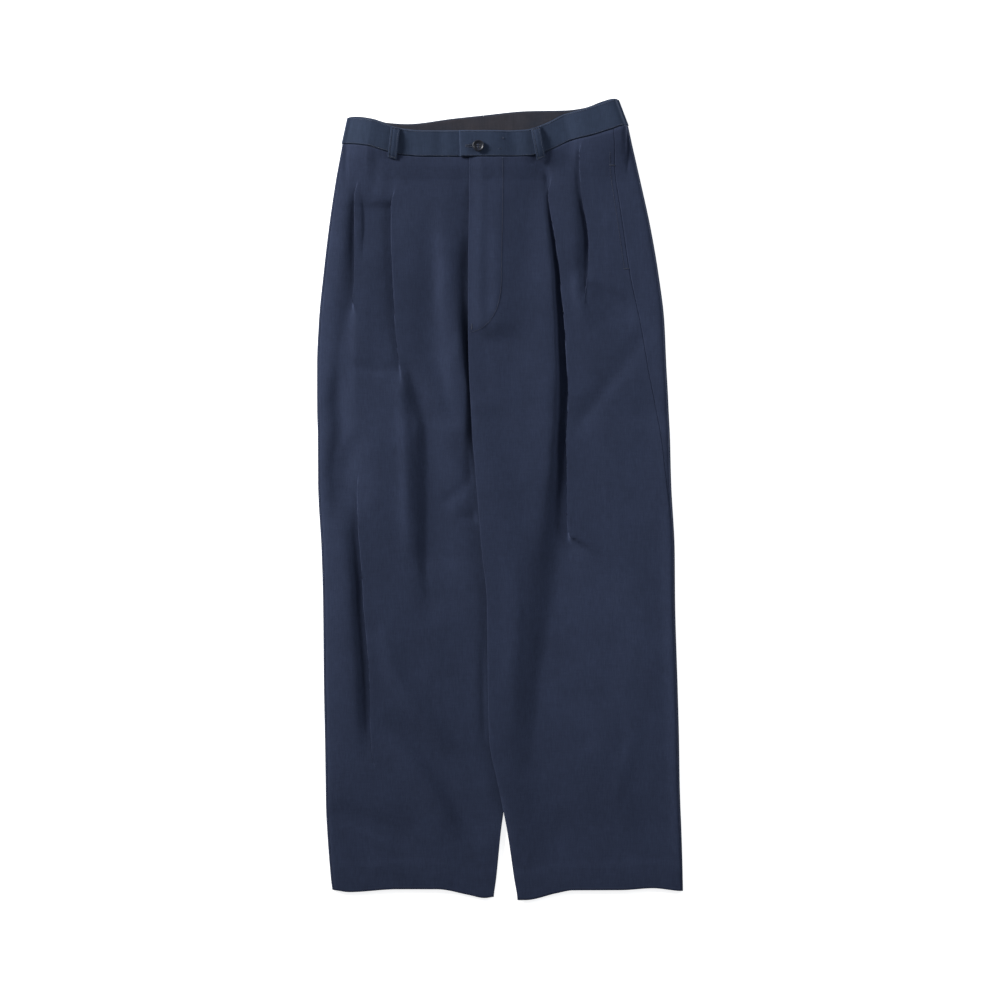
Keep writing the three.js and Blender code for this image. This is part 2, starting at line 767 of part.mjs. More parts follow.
function makeZip() {
  const middle = (ZIP.start + ZIP.end) / 2;
  const half = ZIP.coil / 2;
  const foot = half + ZIP.shoulder;
  const offsets = [ZIP.start, middle - foot, middle - half, middle + half, middle + foot, ZIP.end];
  const heights = [ZIP_TAPE, ZIP_TAPE, ZIP_COIL, ZIP_COIL, ZIP_TAPE, ZIP_TAPE];
  const rows = spread([ZIP.top, ROW_TOP, ZIP.bottom], [1, 6]);
  const under = makeGrid(rows.length, offsets.length, (r, c) => zipPlace(offsets[c], rows[r]));
  const over = under.map((line) => line.map(([x, y, z], c) => [x, y, z + heights[c]]));
  return wall(over, under);
}

// Slider and tab lie on the coil, the tab pointing down.

function makeSlider() {
  const middle = (ZIP.start + ZIP.end) / 2;
  const [x, y, z] = zipPlace(middle, SLIDER.y);
  const low = z + ZIP_COIL + GAP;
  const body = new THREE.BoxGeometry(SLIDER.width, SLIDER.length, SLIDER_PLATE);
  body.translate(x, y, low + SLIDER_PLATE / 2);
  const tab = new THREE.BoxGeometry(SLIDER.tabWidth, SLIDER.tabLength, SLIDER.tab);
  tab.translate(x, y - SLIDER.length / 2 - SLIDER.tabLength / 2 + 1, low + SLIDER.tab / 2);
  return fromSolid(wasm.Manifold.union(toSolid(body), toSolid(tab)));
}

// ---- Button ----


const bandTop = () => bandUnderside('left', BUTTON.x) + BAND_WALL;

function makeButton() {
  const low = bandTop() + BUTTON_LIFT;
  const { radius, thick, rim } = BUTTON;
  const profile = [
    [0, 0],
    [radius - 1.5, 0],
    [radius, 1],
    [radius, thick - 0.8],
    [radius - 0.8, thick],
    [radius - rim - 0.6, thick],
    [radius - rim - 1.6, thick - 0.8],
    [0, thick - 0.8],
  ];
  const disc = new THREE.LatheGeometry(profile.map(([x, y]) => new THREE.Vector2(x, y)), 32);
  disc.rotateX(Math.PI / 2);
  disc.translate(BUTTON.x, BUTTON.y, low);
  let solid = toSolid(disc);
  for (const angle of [45, 135, 225, 315].map(THREE.MathUtils.degToRad)) {
    const hole = new THREE.CylinderGeometry(BUTTON.holes, BUTTON.holes, 3 * thick, 12);
    hole.rotateX(Math.PI / 2);
    const ring = BUTTON.holeRing;
    hole.translate(BUTTON.x + Math.cos(angle) * ring, BUTTON.y + Math.sin(angle) * ring, low);
    solid = wasm.Manifold.difference(solid, toSolid(hole));
  }
  const foot = bandUnderside('left', BUTTON.x);
  const depth = low + 0.5 - foot;
  const shank = new THREE.CylinderGeometry(BUTTON.shank, BUTTON.shank, depth, 12);
  shank.rotateX(Math.PI / 2);
  shank.translate(BUTTON.x, BUTTON.y, foot + depth / 2);
  return fromSolid(wasm.Manifold.union(solid, toSolid(shank)));
}

// The left band with the slit that the button's shank goes through.
function makeButtonholeBand() {
  const tool = new THREE.BoxGeometry(BUTTONHOLE.length, BUTTONHOLE.width, 6 * BAND_WALL);
  tool.translate(BUTTONHOLE.x, BUTTON.y, bandTop());
  return fromSolid(wasm.Manifold.difference(toSolid(makeBand('left')), toSolid(tool)));
}

function toSolid(geometry) {
  const plain = geometry.clone();
  plain.deleteAttribute('normal');
  plain.deleteAttribute('uv');
  const merged = mergeVertices(plain, 1e-4);
  return new wasm.Manifold(
    new wasm.Mesh({
      numProp: 3,
      vertProperties: Float32Array.from(merged.attributes.position.array),
      triVerts: Uint32Array.from(merged.index.array),
    }),
  );
}

function fromSolid(solid) {
  const mesh = solid.getMesh();
  const geometry = new THREE.BufferGeometry();
  geometry.setAttribute('position', new THREE.BufferAttribute(mesh.vertProperties, 3));
  geometry.setIndex(new THREE.BufferAttribute(mesh.triVerts, 1));
  return geometry;
}

// ---- Colours ----

const cloth = { color: 0x2e3549, roughness: 0.85, metalness: 0 };
const FINISH = {
  front: cloth,
  back: { ...cloth, color: 0x2c3346 },
  band: { ...cloth, color: 0x303850 },
  loop: { ...cloth, color: 0x333b53 },
  pocket: { ...cloth, color: 0x262c3d },
  facing: { color: 0x36383b, roughness: 0.9, metalness: 0 },
  zip: { color: 0x1b2030, roughness: 0.7, metalness: 0 },
  slider: { color: 0x4a4d55, roughness: 0.35, metalness: 0.9 },
  button: { color: 0x151a28, roughness: 0.35, metalness: 0 },
};

// ---- Assembly ----

const pieces = [
  ['back_left', 'back', makeBack('left')],
  ['back_right', 'back', makeBack('right')],
  ['front_left', 'front', makeFront('left')],
  ['front_right', 'front', makeFront('right')],
  ['waistband_left', 'band', makeButtonholeBand()],
  ['waistband_right', 'band', makeBand('right')],
  ['waistband_facing', 'facing', makeFacing()],
  ...FRONT_LOOPS.map((loop) => [loop.name, 'loop', makeFrontLoop(loop)]),
  ...BACK_LOOPS.map((loop) => [loop.name, 'loop', makeBackLoop(loop)]),
  ['pocket_left', 'pocket', makePocket('left')],
  ['pocket_right', 'pocket', makePocket('right')],
  ['zip', 'zip', makeZip()],
  ['zip_slider', 'slider', makeSlider()],
  ['button', 'button', makeButton()],
];

// The frame's origin is the middle of the laid garment, on the surface.
const whole = new THREE.Box3().setFromBufferAttribute(
  mergeGeometries(pieces.map(([, , geometry]) => positionsOnly(geometry))).attributes.position,
);
const centre = whole.getCenter(new THREE.Vector3());

function positionsOnly(geometry) {
  const plain = new THREE.BufferGeometry();
  plain.setAttribute('position', geometry.toNonIndexed().attributes.position);
  return plain;
}

const group = new THREE.Group();
for (const [name, finish, geometry] of pieces) {
  geometry.translate(-centre.x, -centre.y, -whole.min.z);
  geometry.computeVertexNormals();
  const mesh = new THREE.Mesh(geometry, new THREE.MeshStandardMaterial(FINISH[finish]));
  mesh.name = name;
  group.add(mesh);
}

export default group;
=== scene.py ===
"""Pleated trousers laid flat, front up: every panel, band, loop, stitch and the button as its own piece.

Sizes in the tables are millimetres in the garment's own frame: X to the wearer's left, Y to the waist, Z up
from the surface that it lies on. Meshes are made in metres.
"""

import math

import bpy
import numpy as np
from bpy.props import FloatProperty, FloatVectorProperty, PointerProperty
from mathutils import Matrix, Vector


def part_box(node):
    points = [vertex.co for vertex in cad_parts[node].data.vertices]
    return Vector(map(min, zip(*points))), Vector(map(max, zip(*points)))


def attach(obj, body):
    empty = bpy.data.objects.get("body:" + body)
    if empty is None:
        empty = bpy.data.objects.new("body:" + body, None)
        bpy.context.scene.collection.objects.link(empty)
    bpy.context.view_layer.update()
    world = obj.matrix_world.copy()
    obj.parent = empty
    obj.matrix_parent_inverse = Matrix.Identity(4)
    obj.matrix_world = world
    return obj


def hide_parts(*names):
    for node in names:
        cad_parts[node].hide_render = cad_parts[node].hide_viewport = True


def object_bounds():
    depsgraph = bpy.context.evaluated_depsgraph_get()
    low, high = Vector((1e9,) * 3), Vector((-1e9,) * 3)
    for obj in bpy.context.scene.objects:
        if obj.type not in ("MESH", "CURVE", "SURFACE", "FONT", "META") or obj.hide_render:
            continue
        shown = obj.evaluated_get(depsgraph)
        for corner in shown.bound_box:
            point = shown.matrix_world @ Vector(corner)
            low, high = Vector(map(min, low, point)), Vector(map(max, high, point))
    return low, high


bl_info = {
    "name": "Laid-out pleated trousers",
    "version": (1, 0, 0),
    "blender": (4, 5, 0),
    "location": "View3D > Sidebar > Trousers",
    "description": "Builds pleated trousers that lie on a table, piece by piece",
    "category": "Add Mesh",
}

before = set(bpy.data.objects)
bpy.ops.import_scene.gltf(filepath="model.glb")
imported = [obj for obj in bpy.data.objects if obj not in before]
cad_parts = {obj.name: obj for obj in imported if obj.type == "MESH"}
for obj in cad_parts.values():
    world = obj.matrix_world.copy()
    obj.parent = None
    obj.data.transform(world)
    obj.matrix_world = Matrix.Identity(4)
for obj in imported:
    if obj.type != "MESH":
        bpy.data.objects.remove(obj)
CAD_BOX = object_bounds()
MM = 0.001
BUTTON_AT = (-30.0, 486.0)


def shift_to_frame():
    """Where the garment's own origin lies in the frame, from the place of the button."""
    low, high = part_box("button")
    middle = (low + high) / 2
    return np.array([middle.x - BUTTON_AT[0] * MM, middle.y - BUTTON_AT[1] * MM, 0.0])


ORIGIN = shift_to_frame()

# ---- Sizes that the cut fixes ----

WALL = 1.2
BAND_WALL = 2.4
GAP = 0.3
LAYER = WALL + GAP
BAND_HEIGHT = 36.5
BAND_LEAN = 0.055
BAND_MIDDLE = -75.0
LOOP_WALL = 1.2
BACK_LIFT = LOOP_WALL + GAP
SEAM_ALLOWANCE = 14.0
ROW_TOP = 440.0
CROTCH = 160.0
FLY_END = 215.0
SIDE_ROUND = {"left": 1.8, "right": 22.0}
CENTRE_BACK = -20.0
TAB_END = -55.0
UNDERLAP_END = -5.0
ZIP_TAPE = 0.9
ZIP_COIL = 1.7
SLIDER_PLATE = 1.2
FLAP_RISE = ZIP_COIL + SLIDER_PLATE + 3 * GAP
EDGE_SIZE = WALL + GAP / 2

# How far in from the outer bend the cloth climbs to its full height, and how much the band's edges thin.
EDGE_CLIMB = 1.5
BAND_CROWN = 0.22

# The lap of the left leg on the right one runs out over this width.
LAP_RUN = 50.0

# Across the fly's flap from its edge: it rises over the zip, stays up, and falls again.
FLAP_RISE_RUN = 20.0
FLAP_FLAT_END = 34.0
FLAP_FALL_RUN = 62.0
FLAP_END_RUN = 30.0

# The seam below the fly, where only one more layer lies under the edge.
SEAM_LAP_START = 120.0
SEAM_LAP_RUN = 32.0
SEAM_LAP_WIDTH = 24.0

# Steps that show through where layers of cloth end: under the fly's stitching, at the hem, at the waist seam.
FLY_STEP = 0.4
FLY_STEP_START = 226.0
FLY_STEP_END = 410.0
HEM_STEP = 0.45
HEM_TURN = 38.0
SEAM_DIP = 0.12
SEAM_DIP_WIDTH = 2.4


class Table:
    """A short table of sizes, read between its rows by a curve that never overshoots them."""

    def __init__(self, columns, rows):
        data = np.array(sorted(rows), float)
        self.at = data[:, 0]
        self.columns = dict(zip(columns.split(), data.T))
        self.slopes = {name: self.slopes_of(v) for name, v in self.columns.items()}

    def slopes_of(self, values):
        steps = np.diff(values) / np.diff(self.at)
        before, after = steps[:-1], steps[1:]
        slopes = np.zeros_like(values)
        same = before * after > 0
        slopes[1:-1][same] = 2 * before[same] * after[same] / (before[same] + after[same])
        return slopes

    def __call__(self, name, at):
        at = np.clip(np.asarray(at, float), self.at[0], self.at[-1])
        k = np.clip(np.searchsorted(self.at, at, side="right") - 1, 0, len(self.at) - 2)
        width = self.at[k + 1] - self.at[k]
        t = (at - self.at[k]) / width
        v, m = self.columns[name], self.slopes[name]
        s = 1 - t
        return (
            v[k] * (1 + 2 * t) * s * s
            + m[k] * width * t * s * s
            + v[k + 1] * t * t * (3 - 2 * t)
            - m[k + 1] * width * t * t * s
        )


# ---- The cut ----

# right, left: outer edges. inner: the fly's edge, then the left leg's inner edge. tuck: how far the right
# leg's inner edge lies beyond it. over: how high the left leg's back lies on the right leg. loft: height of
# the front above the back.
STATIONS = Table(
    "y right left inner tuck over loft",
    [
        (555, -205, 165, -43, 8, 0, 7),
        (515, -214, 176.5, -43, 8, 0, 7),
        (490, -217.4, 182, -43, 8, 0, 7),
        (440, -226.5, 193.5, -42, 8, 0, 8),
        (376, -236, 207.5, -43, 8, 0, 9),
        (312, -243.5, 218.5, -44, 8, 0, 9),
        (248, -249.8, 226.5, -44, 8, 0, 8.5),
        (184, -252.5, 229.5, -43, 6, 0, 8),
        (152, -252.5, 231.3, -41.6, -0.3, 0, 8),
        (120, -252.3, 232.8, -39.8, -0.3, 3, 7.5),
        (88, -251.4, 234.4, -38.2, 3, 3, 8.6),
        (24, -251.1, 236.1, -32.7, 13, 3, 9),
        (-72, -246.2, 241, -25, 23, 3, 8.6),
        (-136, -244.3, 241.5, -18.2, 26, 3, 8),
        (-264, -242.9, 245.2, -16.6, 26, 3, 7.2),
        (-328, -241.6, 246.9, -15, 23, 3, 6.2),
        (-392, -240.6, 247.9, -3, 10, 3, 4.4),
        (-424, -240.1, 248.9, 3.5, 2, 3, 3.4),
        (-456, -238.5, 250.2, 9.7, -8.3, 2.4, 2.2),
        (-520, -233.6, 252, 19, -24, 0, 1.4),
        (-555, -230, 252.5, 24, -33, 0, 0.6),
    ],
)

FRONT_SEAM = Table(
    "x y",
    [
        (-217.4, 490), (-183.5, 486.5), (-160, 479.5), (-136, 473.5), (-104.9, 471.3), (11, 471.3),
        (42, 472.5), (72, 482), (98, 494), (127, 500.5), (152, 508), (177.6, 515),
    ],
)
BACK_SEAM = Table(
    "x y",
    [
        (-217.4, 490.6), (-214, 491.4), (-204, 491.8), (-183, 489.4), (-160, 483.4), (-131, 481.7), (-65, 489),
        (-21, 493.5), (45, 499.5), (100, 500.5), (127, 503.8), (152, 512.4), (160, 514.8), (166, 516.3),
        (172, 516.8), (177.6, 516.2),
    ],
)
HEMS = {
    "right": Table(
        "x y",
        [(-233, -538), (-208, -541), (-142, -537), (-87, -537), (-43, -545), (-21, -549.2), (-8, -547.5)],
    ),
    "left": Table(
        "x y",
        [
            (22, -552), (34.5, -552), (78.7, -542.3), (100.7, -538.5), (167, -538.2), (211, -535.6),
            (252, -539.5),
        ],
    ),
}
SEAM_INSETS = {
    "left": Table(
        "y inset",
        [(515, 22), (440, 34), (321, 40), (200, 28), (60, 10), (-60, 2.6), (-555, 2.6)],
    ),
    "right": Table("y inset", [(515, 2.6), (-555, 2.6)]),
}

# The waist's own shape from side to side: its height above the band behind.
WAIST_SHAPE = Table(
    "x height",
    [
        (-214, 0), (-207, 2.4), (-196, 5.4), (-186, 7.8), (-182, 8.6), (-178, 8.6), (-168, 8.2), (-155, 7.8),
        (-120, 7.6), (-60, 7), (0, 7), (30, 7), (50, 6.2), (72, 5), (88, 4), (96, 3.6), (99, 4),
        (104, 5.4), (112, 7.4), (122, 8.8), (140, 10.6), (156, 12.2), (166, 13), (172, 11), (176.5, 0),
    ],
)

# How far the front's upper edge lies below the outside of the band.
BAND_STEP = Table(
    "x step",
    [(-217, 0.2), (-130, 0.25), (0, 0.45), (12, 1), (62, 1), (72, 0.4), (177, 0.3)],
)

# ---- Folds that run down the legs ----

# depth is below the cloth round it; down and up are the reach towards the wearer's right and left; form is
# how the wearer's-right side falls: 1 a ramp, 2 a soft hollow, 3 and more a trench; hang is how far the edge
# at the other side, which then stands steep, hangs over the fold.
FOLD = "y x depth down up form hang"
FOLDS = {
    "left": {
        "front_pleat": Table(
            FOLD,
            [
                (470, 62, 0, 6, 3, 2, 0),
                (453, 65.5, 0.5, 12, 4, 2, 0),
                (436, 66, 0.5, 10, 3, 2, 2.4),
                (428, 65, 0.9, 7, 2.6, 2, 4),
                (420, 64.5, 1.6, 4.5, 2.6, 2, 4.4),
                (403, 66.5, 2.3, 5, 2.8, 2, 5),
                (386, 69, 3.6, 5.5, 3, 2, 5.2),
                (353, 74.2, 5.2, 6.5, 3.4, 2.2, 5.2),
                (320, 78.5, 7.4, 6.5, 3.4, 2.4, 5.2),
                (287, 82, 8.4, 8.5, 3.4, 2.8, 5.4),
                (254, 85.5, 9.6, 10, 3.4, 3.4, 5.4),
                (221, 87.5, 10, 11, 3.4, 3.6, 5.4),
                (170, 90.5, 10.4, 12.5, 3.4, 4, 5.4),
                (138, 91.5, 10.6, 14, 3.4, 4, 5.4),
                (97, 89, 10.6, 13.5, 3.4, 4, 5.4),
                (72, 88.5, 10.4, 14.5, 3.4, 3.8, 5.4),
                (41, 89.5, 10, 17, 3.4, 3.4, 5.4),
                (6, 89.5, 9.4, 21, 3.4, 3, 5.4),
                (-28, 90, 8.6, 25, 3.4, 2.8, 5.4),
                (-50, 90, 8.2, 28, 5, 2.8, 4.4),
                (-66, 91, 8, 31, 24, 2.8, 1),
                (-83, 90, 8, 33, 38, 2.8, 0),
                (-110, 86, 7.4, 30, 60, 2.6, 0),
                (-138, 81, 6.4, 27, 74, 2.4, 0),
                (-193, 70, 4.6, 22, 80, 2.2, 0),
                (-248, 58, 3.6, 18, 70, 2, 0),
                (-317, 50, 2.4, 18, 64, 2, 0),
                (-360, 46, 1.4, 20, 46, 2, 0),
                (-400, 42, 0, 18, 40, 2, 0),
            ],
        ),
        "side_pleat": Table(
            FOLD,
            [
                (490, 107, 0, 3, 3, 2, 1),
                (478, 107, 1, 4, 2.4, 2, 3.6),
                (469, 107.5, 1.6, 5, 2.4, 2, 4),
                (453, 108, 2.4, 6, 2.4, 2, 4.2),
                (436, 109, 2.6, 7, 2.4, 2, 4.2),
                (420, 110.5, 3, 8, 2.6, 2, 4.6),
                (403, 112.5, 4.2, 8, 2.8, 2, 5),
                (386, 116, 5, 9, 3, 2, 5.2),
                (353, 120, 5.6, 11, 3.2, 2, 5.4),
                (330, 119.5, 4.8, 12, 3.2, 2, 5.2),
                (305, 117.5, 4, 12, 3, 2, 5),
                (292, 116, 2.8, 10, 3, 2, 4.8),
                (281, 114, 1.2, 9, 3, 2, 4.6),
                (268, 112, 0, 8, 4, 2, 3),
            ],
        ),
    },
    "right": {
        "side_fold": Table(
            FOLD,
            [
                (442, -200, 0, 8, 4, 2, 1),
                (430, -201, 0.4, 7, 3, 2, 3),
                (420, -202, 1.6, 7, 2.6, 2, 4.4),
                (403, -202, 3, 8, 2.6, 2, 4.8),
                (386, -202, 4.2, 9, 2.8, 2, 5),
                (353, -202, 5, 10, 2.8, 2.2, 5),
                (304, -202.5, 4, 12, 2.8, 2, 5),
                (287, -204, 3.4, 13, 2.8, 2, 5),
                (270, -206.5, 2.8, 13, 4, 2, 4),
                (254, -210, 2.6, 12, 9, 2, 0.6),
                (221, -216, 1.6, 10, 16, 2, 0),
                (204, -219, 1.4, 10, 18, 2, 0),
                (171, -221, 2.8, 11, 18, 2, 0),
                (138, -223, 4.6, 12, 15, 2, 0),
                (97, -220, 4.6, 12, 15, 2, 0),
                (41, -227, 3.8, 11, 34, 2, 0),
                (6, -224, 2.8, 11, 30, 2, 0),
                (-20, -224, 1.2, 10, 30, 2, 0),
                (-45, -220, 0, 10, 24, 2, 0),
            ],
        ),
        "calf_fold": Table(
            FOLD,
            [
                (36, -199, 0, 24, 4, 1.6, 0),
                (22, -199, 0.4, 28, 3, 1.5, 3),
                (6, -198.5, 1.5, 28, 2.8, 1.5, 4.6),
                (-15, -197.5, 3.4, 22, 2.8, 1.8, 4.8),
                (-41, -196.5, 4.8, 15, 2.8, 2.4, 5),
                (-83, -193.5, 5.6, 14, 3.2, 2.8, 5.4),
                (-120, -191, 6.2, 13, 3.2, 3.2, 5.2),
                (-144, -190, 6.2, 13.5, 3.2, 3.2, 5.2),
                (-193, -185.5, 6.2, 15, 3.2, 3.4, 5.2),
                (-226, -183, 6.2, 15, 3.2, 3.6, 5.2),
                (-265, -181.5, 6, 15, 3.2, 3.8, 5.2),
                (-300, -181, 5.4, 14, 3.2, 3.6, 5.2),
                (-324, -180, 3.6, 14, 3.2, 3.2, 5.2),
                (-342, -179, 1.8, 14, 3.2, 2.8, 5),
                (-358, -178, 0.6, 15, 3.4, 2.4, 4.6),
                (-376, -176, 0, 16, 5, 2, 0),
            ],
        ),
        "front_pleat": Table(
            FOLD,
            [
                (466, -150, 0, 12, 5, 2, 0),
                (436, -148, 0.4, 18, 8, 1.8, 0),
                (420, -150, 0.4, 24, 3, 1.6, 2),
                (410, -150.5, 1.8, 36, 1.8, 1.4, 3.4),
                (403, -150.5, 5, 40, 1.6, 1.35, 3.6),
                (370, -150.5, 7, 44, 1.6, 1.35, 3.8),
                (304, -148, 7, 46, 1.6, 1.3, 3.8),
                (270, -146, 6.6, 44, 1.6, 1.3, 3.8),
                (237, -145, 5.6, 40, 1.6, 1.3, 3.6),
                (204, -142, 3.6, 28, 1.8, 1.3, 3.2),
                (171, -140, 1.8, 16, 3, 1.8, 1.6),
                (145, -140, 0, 12, 4, 2, 0),
            ],
        ),
        "thigh_fold": Table(
            FOLD,
            [
                (192, -132, 0, 5, 10, 2, 0),
                (171, -122, 2.4, 7, 14, 2, 0),
                (155, -117, 3.6, 9, 18, 2.2, 0),
                (138, -111, 4.4, 11, 22, 2.2, 0),
                (97, -98.5, 5.6, 13, 46, 2.4, 0),
                (41, -97, 6.2, 15, 54, 2.6, 0),
                (6, -97, 6.4, 15, 66, 2.6, 0),
                (-44, -99, 6, 13, 78, 2.6, 0),
                (-77, -100, 5.6, 12, 80, 2.4, 0),
                (-94, -100, 4.2, 10, 74, 2, 0),
                (-110, -98, 3, 11, 60, 2, 0),
                (-140, -94, 2, 14, 50, 2, 0),
                (-180, -92, 0, 16, 22, 2, 0),
            ],
        ),
        "fly_fold": Table(
            FOLD,
            [
                (470, -52, 0, 16, 8, 2, 0),
                (436, -46, 1, 26, 8, 2, 0),
                (420, -42, 2, 24, 8, 2, 0),
                (403, -41, 2.8, 24, 8, 2, 0),
                (370, -40, 3.8, 22, 8, 2, 0),
                (353, -39.5, 5, 18, 8, 2, 0),
                (320, -40, 6.4, 18, 8, 2, 0),
                (287, -41.5, 5.6, 17, 8, 2, 0),
                (254, -41, 6.8, 14, 8, 2.2, 0),
                (221, -40, 7.8, 11, 8, 2.4, 0),
                (188, -39.5, 5.6, 9, 8, 2.2, 0),
                (155, -38.5, 3, 6.5, 8, 2, 0),
                (121, -38, 2.6, 6.5, 8, 2, 0),
                (88, -36, 4.2, 9, 8, 2, 0),
                (50, -32, 4, 13, 6, 2, 0),
                (30, -31, 2.6, 15, 6, 2, 0),
                (2, -30, 0, 16, 8, 2, 0),
            ],
        ),
    },
}

